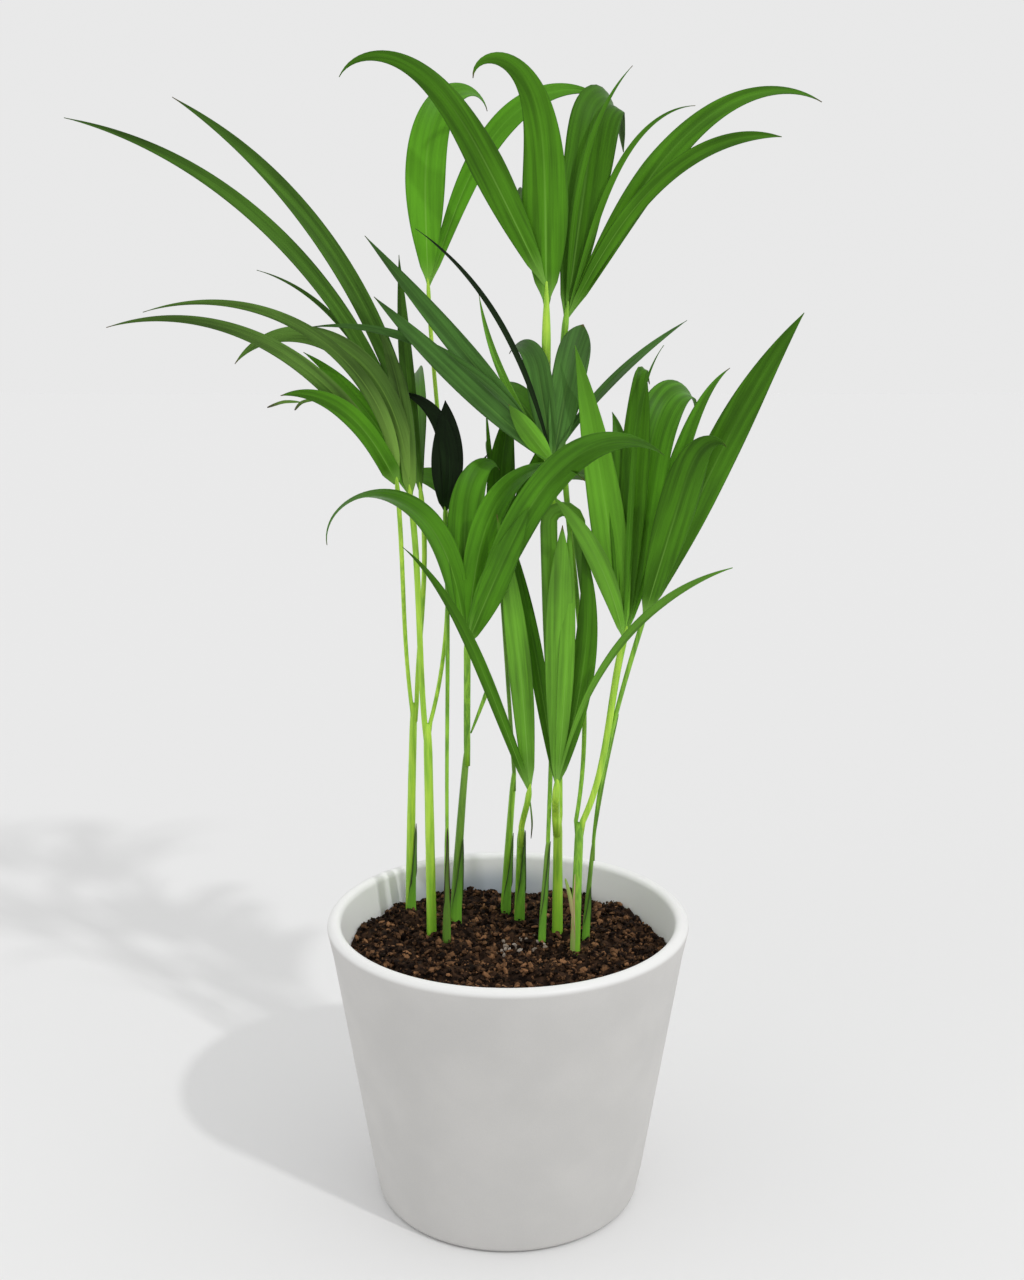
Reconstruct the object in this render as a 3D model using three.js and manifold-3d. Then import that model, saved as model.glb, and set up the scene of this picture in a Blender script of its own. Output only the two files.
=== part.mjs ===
// Potted areca palm: ten young stems from one pot, each carrying one or two thin stalks with a
// frond of long pointed leaflets at its tip. Millimetres, +Z up, the origin at the middle of the
// pot's flat underside. +X is to the right in the front view, and +Y is away from the viewer.
import * as THREE from "three";
import { mergeVertices } from "three/addons/utils/BufferGeometryUtils.js";
import Module from "manifold-3d";

const wasm = await Module();
wasm.setup();

// Driving dimensions of the pot and of the soil in it
const POT = {
  height: 114,
  rimRadius: 70,
  footRadius: 52,
  wall: 5.4,
  floor: 7,
  footRound: 3,
  segments: 48,
};
const SOIL = { level: 100.5, bump: 1.4, rings: 7, segments: 40 };

// Clearance between pieces that touch
const GAP = 0.3;

// Stems: how deep the flat foot stands in the soil, and how late the stem leans
const FOOT_DEPTH = 3;
const STEM_LEAN = 1.4;
const STEM_SIDES = 8;
const STEM_STEPS = 6;

// Stalks, and the ribs of the fronds that stand on them
const STALK_SIDES = 6;
const STALK_STEPS = 8;
const RIB_STEPS = 2;
const RIB_TAPER = 0.4;
const LEAF_START = 2;

// Leaflets: the rib is at least a hundredth of the leaflet's length thick, and the halves of the
// blade rise from it in a shallow V
const LEAF_STEPS = 10;
const LEAF_THICKNESS = 0.0112;
const LEAF_THINNEST = 0.8;
const LEAF_FOLD = 0.22;
const LEAF_TIP = 0.35;

// Colour, roughness and metalness of each finish
const FINISH = {
  ceramic: [0xc6c5c2, 0.7, 0],
  soil: [0x3a2c22, 0.95, 0],
  stem: [0x8fb43c, 0.55, 0],
  stalk: [0x9ec24a, 0.5, 0],
  leaf: [0x3f7a1e, 0.45, 0],
  darkLeaf: [0x2a5a20, 0.5, 0],
};

// Stems: foot on the soil [x, y], top [x, y, z], and the radius at foot and top
const STEMS = {
  left_back: { foot: [-40.5, 34], top: [-37.5, 30, 190.5], radius: [2, 1.5] },
  left_front: { foot: [-30.5, 12], top: [-31.3, 14, 186.5], radius: [2, 1.7] },
  middle_left_thin: { foot: [-24.2, 5], top: [-23.8, 8, 146.5], radius: [1.3, 0.9] },
  middle_left: { foot: [-21.5, 20.5], top: [-16, 16, 176.5], radius: [2.3, 1.3] },
  middle_back: { foot: [-1.3, 33], top: [2.4, 30, 161.5], radius: [2, 1.2] },
  middle: { foot: [4.4, 24], top: [5.3, 14, 143.5], radius: [2, 1.6] },
  right_thin: { foot: [13, 1.5], top: [15.6, 6, 141.5], radius: [1.4, 0.9] },
  right_bright: { foot: [19.7, 12], top: [19.5, 10, 149.5], radius: [2.2, 1.8] },
  right_front: { foot: [25.9, -7.5], top: [27.6, 1, 150.5], radius: [2, 1.7] },
  right_back: { foot: [30.5, 7], top: [33.4, 7, 140.5], radius: [1.4, 0.8] },
};

// Fronds. "base" is where the frond's rib stands on its stalk. The stalk stands on the top of the
// named stem, "offset" from the middle of that top, and sets out at its own angles.
// A leaflet leaves the rib "at" so far up (2 if unstated), heads "toward" a compass angle (0 is
// right, 90 is away), climbs at the angle "rise" and ends at the angle "fall". The change lies
// between the shares "from" and "to" of its length, and a high "bend" keeps it to the outer part.
// "roll" turns the blade about its own rib, and "twist" adds a turn towards its tip. "widest" is
// the share of the length where the blade is widest, "root" its width at the rib as a share of
// "width", and a high "taper" keeps the outer part broad.
const FRONDS = {
  left_tall: {
    base: [-30, 34, 349.5],
    rib: { length: 7, toward: 0, rise: 92, radius: 0.8 },
    stalk: { stem: "left_front", offset: [1.2, 0.4], radius: 0.8, toward: 40, rise: 70 },
    leaflets: [
      { length: 94, width: 15, toward: 40, rise: 92, fall: -72, bend: 4.1, roll: -50, root: 0.1 },
      {
        length: 109, width: 9, widest: 0.6, root: 0.15,
        toward: 16, rise: 70, fall: -22, bend: 2.8, roll: -74,
      },
      { length: 82, width: 11, toward: 88, rise: 70, fall: -40, bend: 1.6, roll: 45 },
    ],
  },
  top: {
    base: [14.3, 20, 332.5],
    rib: { length: 21, toward: 180, rise: 90, radius: 1.7 },
    stalk: { stem: "right_bright", offset: [0.9, 1.3], radius: 1, toward: 90, rise: 78 },
    leaflets: [
      {
        at: 19, length: 120, width: 12.5, widest: 0.4, taper: 1.3,
        toward: 188, rise: 63, fall: -63, bend: 4.8, roll: -80,
      },
      {
        at: 12, length: 106, width: 17, widest: 0.35, taper: 1.4,
        toward: 195, rise: 89, fall: -92, bend: 6, roll: -75,
      },
      { at: 8, length: 92, width: 12, toward: 100, rise: 72, fall: -45, bend: 1.7, roll: -45 },
    ],
  },
  right_tall: {
    base: [21.5, 26, 337.5],
    rib: { length: 9, toward: 0, rise: 84, radius: 1.3 },
    stalk: { stem: "right_front", offset: [-1.4, 0.6], radius: 0.8, toward: 60, rise: 68 },
    leaflets: [
      {
        length: 108, width: 19, widest: 0.68,
        toward: 52, rise: 77, fall: -68, bend: 3.4, from: 0.54, to: 0.86, roll: -40,
      },
      { length: 98, width: 2.5, toward: 15, rise: 73, fall: 3, bend: 3.4, roll: -75 },
      {
        length: 142, width: 10.5, taper: 1.3,
        toward: 15, rise: 60, fall: -26, bend: 2.9, roll: -75,
      },
      { length: 111, width: 6, toward: 5, rise: 62, fall: -8, bend: 2.1, roll: -85, taper: 4 },
      { length: 98, width: 2.5, toward: 25, rise: 86, fall: 44, bend: 2.4, roll: -65 },
      { length: 96, width: 12, toward: 78, rise: 68, fall: -40, bend: 1.6, roll: 45 },
    ],
  },
  left_upper: {
    base: [-33, 22, 273.5],
    rib: { length: 6, toward: 180, rise: 84, radius: 1 },
    stalk: { stem: "left_back", offset: [1.1, 0], radius: 0.9, toward: 0, rise: 88 },
    leaflets: [
      { length: 205, width: 6, toward: 170, rise: 76, fall: 12, bend: 1.1, roll: 80, root: 0.5 },
      { length: 186, width: 7.5, toward: 160, rise: 85, fall: 29, bend: 0.9, roll: 70, root: 0.5 },
      { length: 110, width: 2.5, toward: 165, rise: 73, fall: 14, bend: 1.8, roll: 75 },
      { length: 88, width: 5.4, toward: 180, rise: 83, fall: 88, roll: 90, root: 0.5 },
      { length: 88, width: 10, toward: 95, rise: 72, fall: -35, bend: 1.5, roll: 45 },
      { length: 76, width: 10, toward: 104, rise: 58, fall: -50, bend: 1.3, roll: -45 },
    ],
  },
  left_middle: {
    base: [-36.3, 12, 273.5],
    rib: { length: 6, toward: 180, rise: 84, radius: 1.2 },
    stalk: { stem: "left_front", offset: [-1.1, -0.2], radius: 1.1, toward: 180, rise: 86 },
    leaflets: [
      { length: 105, width: 8.5, root: 0.6, toward: 185, rise: 85, fall: -54, bend: 1.8, roll: -85 },
      { length: 64, width: 7, toward: 150, rise: 87, fall: 60, bend: 2, roll: 60, root: 0.6 },
      { length: 67, width: 6.5, toward: 174, rise: 71, fall: 32, bend: 1.2, roll: 80, root: 0.5 },
    ],
  },
  left_lower: {
    base: [-41, 8, 278.5],
    rib: { length: 6, toward: 180, rise: 86, radius: 0.9 },
    stalk: { stem: "left_back", offset: [-1.1, -0.3], radius: 0.8, toward: 180, rise: 84 },
    leaflets: [
      {
        length: 126, width: 5.5, widest: 0.3, root: 0.5, taper: 1.4,
        toward: 195, rise: 91, fall: -18, bend: 0.95, roll: -75,
      },
      {
        length: 127, width: 6.5, widest: 0.3, root: 0.6, taper: 1.6,
        toward: 200, rise: 62, fall: -17, bend: 1.4, roll: -70,
      },
      { length: 59, width: 7.5, root: 0.9, toward: 205, rise: 62, fall: -13, bend: 2, roll: -65 },
    ],
  },
  centre_high: {
    base: [16.6, 4, 286.5],
    rib: { length: 5, toward: 180, rise: 88, radius: 1.3 },
    stalk: { stem: "right_thin", offset: [0, 0], radius: 0.8, toward: 82, rise: 72 },
    leaflets: [
      {
        length: 107, width: 8.2, taper: 1.6,
        toward: 170, rise: 53, fall: 48, bend: 0.4, roll: 80,
      },
      { length: 88, width: 8.2, toward: 178, rise: 39, fall: 44, bend: 0.4, roll: 85 },
      { length: 108, width: 4, toward: 175, rise: 58, fall: -7, bend: 1.2, roll: 75 },
      { length: 69, width: 3, toward: 150, rise: 51, fall: 80, bend: 1.5, roll: 60 },
      { length: 27, width: 7.5, toward: 190, rise: 50, fall: 55, roll: -80 },
      { length: 62, width: 10, toward: 118, rise: 71, fall: -40, from: 0.55, roll: 40 },
      { length: 101, width: 2.2, toward: 165, rise: 75, fall: 33, bend: 1.5, roll: 75 },
      {
        length: 56, width: 13, widest: 0.6, taper: 3.5,
        toward: 62, rise: 68, fall: 44, from: 0.6, roll: -40,
      },
      { length: 82, width: 3.5, toward: 34, rise: 72, fall: 26, bend: 0.4, roll: -70 },
      { length: 66, width: 11, toward: 122, rise: 56, fall: -35, bend: 1.4, roll: 45 },
    ],
  },
  behind_left: {
    base: [-23.8, 18, 266.5],
    rib: { length: 5, toward: 0, rise: 92, radius: 0.9 },
    stalk: { stem: "middle_left_thin", offset: [0, 0], radius: 0.7, toward: 90, rise: 88 },
    dark: true,
    leaflets: [
      { length: 54, width: 7, toward: 172, rise: 100, fall: 5, bend: 2, roll: 80 },
      { length: 42, width: 12, toward: 180, rise: 94, fall: 84, bend: 2, roll: 90 },
      { length: 28, width: 2.5, toward: 20, rise: 52, fall: 50, roll: -60 },
    ],
  },
  inner: {
    base: [-3, 28, 243.5],
    rib: { length: 5, toward: 180, rise: 86, radius: 0.8 },
    stalk: { stem: "middle_back", offset: [0, 0], radius: 0.8, toward: 180, rise: 86 },
    leaflets: [
      { length: 62, width: 2.6, toward: 165, rise: 84, fall: 86, roll: 75 },
      { length: 64, width: 11, toward: 30, rise: 89, fall: 72, from: 0.5, roll: -60 },
      { length: 76, width: 9, toward: 14, rise: 70, fall: 60, roll: -70 },
      { length: 86, width: 11, toward: 95, rise: 66, fall: -30, bend: 1.6, roll: -45 },
      { length: 72, width: 11, toward: 140, rise: 62, fall: -30, bend: 1.6, roll: 40 },
      { length: 88, width: 12, toward: 52, rise: 58, fall: -40, bend: 1.4, roll: 45 },
      { length: 90, width: 12, toward: 76, rise: 38, fall: -45, bend: 1.3, roll: -45 },
      { length: 80, width: 11, toward: 112, rise: 30, fall: -50, bend: 1.3, roll: -45 },
    ],
  },
  right_upright: {
    base: [43, 0, 221],
    rib: { length: 7, toward: 0, rise: 78, radius: 1.4 },
    stalk: { stem: "right_front", offset: [1.2, -0.5], radius: 1.2, toward: 0, rise: 66 },
    leaflets: [
      {
        length: 110, width: 13, widest: 0.35,
        toward: 155, rise: 81, fall: 75, bend: 2.1, roll: 65,
      },
      {
        length: 109, width: 10.5, widest: 0.6,
        toward: 60, rise: 84, fall: -50, bend: 3.5, from: 0.84, to: 0.94, roll: -30,
      },
      {
        length: 116, width: 16, widest: 0.7, root: 0.1,
        toward: 48, rise: 79, fall: -70, bend: 3, from: 0.45, to: 0.97, roll: -40,
      },
      { length: 111, width: 7, toward: 30, rise: 71, fall: 29, bend: 6, roll: -60 },
      { length: 110, width: 2.4, toward: 15, rise: 88, fall: 52, bend: 6, roll: -75 },
      { length: 46, width: 4, toward: 170, rise: 72, fall: 68, roll: 80 },
      { length: 86, width: 9, toward: 110, rise: 85, fall: 40, from: 0.8, roll: 20, widest: 0.6 },
      { length: 64, width: 7.5, toward: 205, rise: 76, fall: 44, bend: 1.2, roll: -70 },
      { length: 90, width: 11, toward: 98, rise: 60, fall: -38, bend: 1.3, roll: 45 },
      { length: 76, width: 11, toward: 84, rise: 46, fall: -48, bend: 1.2, roll: -45 },
    ],
  },
  right_long: {
    base: [50, -2, 229.5],
    rib: { length: 6, toward: 0, rise: 74, radius: 1 },
    stalk: { stem: "right_back", offset: [0, 0], radius: 0.7, toward: 0, rise: 86 },
    leaflets: [
      { length: 124, width: 13, toward: -20, rise: 67, fall: 54, bend: 3, roll: 70, widest: 0.5 },
      {
        length: 80, width: 14, widest: 0.6,
        toward: -40, rise: 72, fall: -52, bend: 4.5, from: 0.5, roll: 50,
      },
    ],
  },
  front_left: {
    base: [-15.5, 8, 217],
    rib: { length: 6, toward: 0, rise: 90, radius: 1.3 },
    stalk: { stem: "middle_left", offset: [0, 0], radius: 1.3, toward: 0, rise: 90 },
    leaflets: [
      {
        length: 102, width: 11, taper: 3,
        toward: 200, rise: 81, fall: -97, bend: 2.5, roll: -70, twist: 62,
      },
      {
        length: 103, width: 11,
        toward: -38, rise: 83, fall: -37, bend: 2.5, roll: 60, twist: -50,
      },
      { length: 81, width: 13, toward: 50, rise: 92, fall: -55, bend: 5.5, roll: -40, widest: 0.6 },
      {
        length: 132, width: 12, taper: 3,
        toward: -42, rise: 63, fall: -28, bend: 2.9, roll: 50,
      },
      { length: 64, width: 11, toward: -44, rise: 62, fall: 58, roll: 60 },
      { length: 72, width: 10, toward: 78, rise: 50, fall: -52, bend: 1.2, roll: 45 },
    ],
  },
  front_low: {
    base: [8, 7, 159.5],
    rib: { length: 5, toward: -60, rise: 76, radius: 1.2 },
    stalk: { stem: "middle", offset: [0, 0], radius: 1.2, toward: -60, rise: 74 },
    leaflets: [
      {
        length: 112, width: 4.8, root: 0.5,
        toward: 205, rise: 69, fall: 41, bend: 3.5, roll: -65,
      },
      {
        length: 110, width: 8.8, root: 0.4,
        toward: 215, rise: 86, fall: 76, bend: 1.6, roll: -60,
      },
    ],
  },
  front_right: {
    base: [18.5, 1, 162.5],
    rib: { length: 7, toward: 0, rise: 86, radius: 1.5 },
    stalk: { stem: "right_bright", offset: [-0.8, -1.5], radius: 1.6, toward: -90, rise: 80 },
    leaflets: [
      { length: 102, width: 6, toward: 128, rise: 76, fall: 66, bend: 2, roll: 34 },
      {
        length: 164, width: 6.5, root: 0.3, taper: 3,
        toward: -10, rise: 92, fall: -84, from: 0.62, to: 0.72, roll: 70,
      },
      { length: 104, width: 10, toward: -85, rise: 88, fall: 78, roll: 5, widest: 0.55, taper: 2.6 },
      { length: 106, width: 6, toward: -60, rise: 80, fall: 92, roll: 35 },
      { length: 97, width: 9, toward: -15, rise: 76, fall: 102, bend: 2, roll: 75 },
      {
        length: 122, width: 3.2, widest: 0.7, root: 0.1,
        toward: -35, rise: 76, fall: 20, bend: 1.35, roll: 55,
      },
    ],
  },
};

const AWAY = new THREE.Vector3(0, 1, 0);

/** The unit vector at a compass angle and a climb, both in degrees. */
function heading(toward, climb) {
  const a = THREE.MathUtils.degToRad(toward);
  const e = THREE.MathUtils.degToRad(climb);
  return new THREE.Vector3(Math.cos(e) * Math.cos(a), Math.cos(e) * Math.sin(a), Math.sin(e));
}

/** Stations along an arching rib: the point, the way on, the blade's side and its upper face. */
function archStations(rule, steps) {
  const { start, length, toward, rise, fall, from = 0, to = 1, bend = 1, roll = 0, twist = 0 } = rule;
  const side = heading(toward - 90, 0);
  const bent = (u) => Math.pow(THREE.MathUtils.clamp((u - from) / (to - from), 0, 1), bend);
  const climb = (u) => rise + (fall - rise) * bent(u);
  const point = start.clone();
  const stations = [];
  for (let i = 0; i <= steps; i++) {
    if (i > 0) point.addScaledVector(heading(toward, climb((i - 0.5) / steps)), length / steps);
    const along = heading(toward, climb(i / steps));
    const turn = THREE.MathUtils.degToRad(roll + twist * (i / steps));
    const across = side.clone().applyAxisAngle(along, -turn);
    const face = across.clone().cross(along);
    stations.push({ point: point.clone(), along, across, face });
  }
  return stations;
}

/** Closed solid swept through stations; shape(u) gives its half width, half thickness and fold. */
function sweep(stations, sides, shape) {
  const steps = stations.length - 1;
  const geometry = new THREE.CylinderGeometry(1, 1, 1, sides, steps);
  const vertices = geometry.attributes.position;
  const place = new THREE.Vector3();
  for (let i = 0; i < vertices.count; i++) {
    const x = vertices.getX(i);
    const z = vertices.getZ(i);
    const u = vertices.getY(i) + 0.5;
    const { point, across, face } = stations[Math.round(u * steps)];
    const { width, thickness, fold } = shape(u);
    place.copy(point);
    place.addScaledVector(across, x * width);
    place.addScaledVector(face, z * thickness + Math.abs(x) * fold);
    vertices.setXYZ(i, place.x, place.y, place.z);
  }
  return welded(geometry);
}

/** A geometry with only positions and its shared vertices merged. */
function welded(geometry) {
  geometry.deleteAttribute("normal");
  geometry.deleteAttribute("uv");
  return mergeVertices(geometry, 1e-5);
}

/** A closed geometry as a solid, without the collapsed faces at a lathe's poles. */
function solidOf(geometry) {
  const index = geometry.index.array;
  const faces = [];
  for (let i = 0; i < index.length; i += 3) {
    const [a, b, c] = [index[i], index[i + 1], index[i + 2]];
    if (a !== b && b !== c && c !== a) faces.push(a, b, c);
  }
  const vertProperties = new Float32Array(geometry.attributes.position.array);
  const triVerts = new Uint32Array(faces);
  return new wasm.Manifold(new wasm.Mesh({ numProp: 3, vertProperties, triVerts }));
}

/** A solid back as a geometry. */
function geometryOf(solid) {
  const { vertProperties, triVerts } = solid.getMesh();
  const geometry = new THREE.BufferGeometry();
  geometry.setAttribute("position", new THREE.BufferAttribute(vertProperties, 3));
  geometry.setIndex(new THREE.BufferAttribute(triVerts, 1));
  return geometry;
}

/** Outer radius of the pot's wall at a height. */
function potRadius(height) {
  return THREE.MathUtils.mapLinear(height, 0, POT.height, POT.footRadius, POT.rimRadius);
}

/** The pot: a tapered cup with a flat underside, a small foot rounding and a rounded rim. */
function makePot() {
  const lip = POT.wall / 2;
  const outline = new THREE.Path();
  outline.moveTo(0, 0);
  outline.lineTo(POT.footRadius - POT.footRound, 0);
  outline.quadraticCurveTo(POT.footRadius, 0, potRadius(POT.footRound), POT.footRound);
  outline.lineTo(POT.rimRadius, POT.height - lip);
  outline.absarc(POT.rimRadius - lip, POT.height - lip, lip, 0, Math.PI, false);
  outline.lineTo(potRadius(POT.floor) - POT.wall, POT.floor);
  outline.lineTo(0, POT.floor);
  return turned(outline.getPoints(4), POT.segments);
}

/** A profile turned about the upright axis. */
function turned(profile, segments) {
  const geometry = new THREE.LatheGeometry(profile, segments);
  geometry.rotateX(Math.PI / 2);
  return welded(geometry);
}

/** Height of the soil's surface above its level: low uneven humps that fade out at the wall. */
function soilHump(x, y) {
  const edge = potRadius(SOIL.level) - POT.wall;
  const fade = 1 - Math.pow(Math.hypot(x, y) / edge, 4);
  const waves = Math.sin(x / 9 + 0.7) * Math.cos(y / 7) + Math.sin((x + y) / 5) / 2;
  return SOIL.bump * waves * Math.max(fade, 0);
}

/** The soil that fills the pot, with a socket for each stem's foot. */
function makeSoil() {
  const low = POT.floor + GAP;
  const inside = (z) => potRadius(z) - POT.wall - GAP;
  const profile = [new THREE.Vector2(0, low), new THREE.Vector2(inside(low), low)];
  for (let i = SOIL.rings; i >= 0; i--) {
    profile.push(new THREE.Vector2((inside(SOIL.level) * i) / SOIL.rings, SOIL.level));
  }
  const geometry = turned(profile, SOIL.segments);
  const vertices = geometry.attributes.position;
  for (let i = 0; i < vertices.count; i++) {
    const onTop = vertices.getZ(i) > SOIL.level - 1;
    if (onTop) vertices.setZ(i, SOIL.level + soilHump(vertices.getX(i), vertices.getY(i)));
  }
  return Object.values(STEMS).reduce((soil, stem) => soil.subtract(makeSocket(stem)), solidOf(geometry));
}

/** The hole in the soil that a stem's foot stands in. */
function makeSocket({ foot, radius }) {
  const depth = 2 * FOOT_DEPTH + SOIL.bump * 2;
  const socket = new THREE.CylinderGeometry(radius[0] + 3 * GAP, radius[0] + 2 * GAP, depth, STEM_SIDES);
  socket.rotateX(Math.PI / 2);
  socket.translate(foot[0], foot[1], SOIL.level - FOOT_DEPTH - GAP + depth / 2);
  return solidOf(welded(socket));
}

/** A stem: level sections from the flat foot to the flat top, flared towards the foot. */
function makeStem({ foot, top, radius }) {
  const low = new THREE.Vector3(foot[0], foot[1], SOIL.level - FOOT_DEPTH);
  const high = new THREE.Vector3(...top);
  const stations = [];
  for (let i = 0; i <= STEM_STEPS; i++) {
    const lean = Math.pow(i / STEM_STEPS, STEM_LEAN);
    const point = low.clone().lerp(high, lean).setZ(THREE.MathUtils.lerp(low.z, high.z, i / STEM_STEPS));
    stations.push({ point, across: heading(0, 0), face: heading(-90, 0) });
  }
  return sweep(stations, STEM_SIDES, (u) => {
    const half = radius[1] + (radius[0] - radius[1]) * Math.pow(1 - u, 1.5);
    return { width: half, thickness: half, fold: 0 };
  });
}

/** A stalk: one tapering limb from a stem's top to the base of a frond's rib. */
function makeStalk({ base, rib, stalk }) {
  const [x, y, z] = STEMS[stalk.stem].top;
  const footWay = heading(stalk.toward, stalk.rise);
  const lift = GAP + stalk.radius * Math.hypot(footWay.x, footWay.y);
  const foot = new THREE.Vector3(x + stalk.offset[0], y + stalk.offset[1], z + lift);
  const tipWay = heading(rib.toward, rib.rise);
  const tip = new THREE.Vector3(...base).addScaledVector(tipWay, -GAP);
  const reach = foot.distanceTo(tip) / 3;
  const footPull = foot.clone().addScaledVector(footWay, reach);
  const tipPull = tip.clone().addScaledVector(tipWay, -reach);
  const curve = new THREE.CubicBezierCurve3(foot, footPull, tipPull, tip);
  const stations = [];
  for (let i = 0; i <= STALK_STEPS; i++) {
    const along = curve.getTangent(i / STALK_STEPS);
    const across = AWAY.clone().cross(along).normalize();
    stations.push({ point: curve.getPoint(i / STALK_STEPS), across, face: across.clone().cross(along) });
  }
  return sweep(stations, STALK_SIDES, (u) => {
    const half = THREE.MathUtils.lerp(stalk.radius, rib.radius, u);
    return { width: half, thickness: half, fold: 0 };
  });
}

/** A leaflet: a thin pointed blade, widest a little below its middle. */
function makeLeaflet(leaflet, start) {
  const { length, width, widest = 0.45, root = 0.2, taper = 2 } = leaflet;
  const thick = Math.max(length * LEAF_THICKNESS, LEAF_THINNEST) / 2;
  const outline = (u) => {
    if (u < widest) return root + (1 - root) * Math.sin(((Math.PI / 2) * u) / widest);
    return 1 - Math.pow((u - widest) / (1 - widest), taper);
  };
  return sweep(archStations({ ...leaflet, start }, LEAF_STEPS), 4, (u) => {
    const half = Math.max((width / 2) * outline(u), LEAF_TIP);
    const thin = Math.max(thick * Math.min(1, 4 * (1 - u)), LEAF_TIP / 2);
    return { width: half, thickness: thin, fold: half * LEAF_FOLD };
  });
}

/** A frond: its rib with the leaflets fused on. */
function makeFrond({ base, rib, leaflets }) {
  const start = new THREE.Vector3(...base);
  const way = heading(rib.toward, rib.rise);
  const ribRule = { start, length: rib.length, toward: rib.toward, rise: rib.rise, fall: rib.rise };
  const core = sweep(archStations(ribRule, RIB_STEPS), STALK_SIDES, (u) => {
    const half = rib.radius * (1 - RIB_TAPER * u);
    return { width: half, thickness: half, fold: 0 };
  });
  return leaflets.reduce((frond, leaflet) => {
    const root = start.clone().addScaledVector(way, leaflet.at ?? LEAF_START);
    return frond.add(solidOf(makeLeaflet(leaflet, root)));
  }, solidOf(core));
}

/** A named mesh in one of the finishes. */
function mesh(name, geometry, finish) {
  const [color, roughness, metalness] = FINISH[finish];
  const made = new THREE.Mesh(geometry, new THREE.MeshStandardMaterial({ color, roughness, metalness }));
  made.name = name;
  return made;
}

const palm = new THREE.Group();
palm.add(mesh("pot", makePot(), "ceramic"));
palm.add(mesh("soil", geometryOf(makeSoil()), "soil"));
for (const [name, stem] of Object.entries(STEMS)) {
  palm.add(mesh(`stem_${name}`, makeStem(stem), "stem"));
}
for (const [name, frond] of Object.entries(FRONDS)) {
  palm.add(mesh(`stalk_${name}`, makeStalk(frond), "stalk"));
  palm.add(mesh(`frond_${name}`, geometryOf(makeFrond(frond)), frond.dark ? "darkLeaf" : "leaf"));
}

export default palm;
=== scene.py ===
"""Looks of a potted areca palm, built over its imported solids.

The tables hold millimetres, as the part's source does, and the meshes are made in metres in the same
frame. Stems, stalks and leaflets grow by the source's own rules, carried on in finer steps.
"""

import logging
import math
import random
from dataclasses import dataclass
from enum import Enum
from typing import Callable, Iterable, Sequence

import bmesh
import bpy
from mathutils import Euler, Matrix, Vector, noise

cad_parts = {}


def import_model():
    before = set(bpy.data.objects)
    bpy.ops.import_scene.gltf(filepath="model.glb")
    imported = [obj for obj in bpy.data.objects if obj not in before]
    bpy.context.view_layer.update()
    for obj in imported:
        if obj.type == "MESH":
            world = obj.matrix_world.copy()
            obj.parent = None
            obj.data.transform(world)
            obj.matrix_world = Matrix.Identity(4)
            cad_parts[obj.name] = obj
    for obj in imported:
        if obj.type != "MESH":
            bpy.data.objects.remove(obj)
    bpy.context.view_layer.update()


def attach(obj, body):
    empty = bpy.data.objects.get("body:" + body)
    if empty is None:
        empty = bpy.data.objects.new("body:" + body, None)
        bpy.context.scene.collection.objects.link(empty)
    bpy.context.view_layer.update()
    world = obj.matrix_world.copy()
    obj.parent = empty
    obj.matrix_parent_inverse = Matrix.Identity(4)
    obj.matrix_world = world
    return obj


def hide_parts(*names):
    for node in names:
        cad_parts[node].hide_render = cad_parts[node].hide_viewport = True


LOG = logging.getLogger("potted_palm")
MM = 0.001
BODY = "root"
SOIL_LEVEL = 100.5
PLAIN_SHADE = 0.5
MERGE_DISTANCE = 1e-6

Colour = tuple[float, float, float]
Point = tuple[float, float, float]


class LeafTone(Enum):
    """The greens of the leaflets."""

    VIVID = "vivid"
    BRIGHT = "bright"
    FRESH = "fresh"
    LIVELY = "lively"
    MIDDLE = "middle"
    WILTED = "wilted"
    DULL = "dull"
    DEEP = "deep"
    COOL = "cool"
    # painted shade: a near-black green for leaflets deep among the others
    SHADED = "shaded"


class LimbTone(Enum):
    """The greens of stems and stalks."""

    LIME = "lime"
    GREEN = "green"
    OLIVE = "olive"


class SheathTone(Enum):
    """Fresh and dried sheaths at the stems' feet."""

    GREEN = "green"
    DRY = "dry"
    PALE = "pale"


def heading(toward: float, climb: float) -> Vector:
    """Gives the unit vector at a compass angle and a climb.

    Args:
        toward: Compass angle in degrees; 0 is right and 90 is away from the viewer.
        climb: Angle above level, in degrees.

    Returns:
        The unit vector.
    """
    a = math.radians(toward)
    e = math.radians(climb)
    return Vector((math.cos(e) * math.cos(a), math.cos(e) * math.sin(a), math.sin(e)))


def between(low: float, high: float, share: float) -> float:
    """Gives the value at a share of the way from low to high."""
    return low + (high - low) * share


def clamped(value: float) -> float:
    """Keeps a value between 0 and 1."""
    return min(max(value, 0.0), 1.0)


@dataclass(frozen=True)
class Station:
    """A place along a limb or a blade, in millimetres, with its own three directions."""

    point: Vector
    along: Vector
    across: Vector
    face: Vector


@dataclass(frozen=True)
class Ring:
    """One ring of a tube: its centre, its two directions and its half sizes, in millimetres."""

    centre: Vector
    across: Vector
    face: Vector
    wide: float
    thick: float


def closed(rings: Sequence[Ring]) -> list[Ring]:
    """Gives the rings with a point at both ends."""
    first, last = (Ring(ring.centre, ring.across, ring.face, 0.0, 0.0) for ring in (rings[0], rings[-1]))
    return [first, *rings, last]


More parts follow.
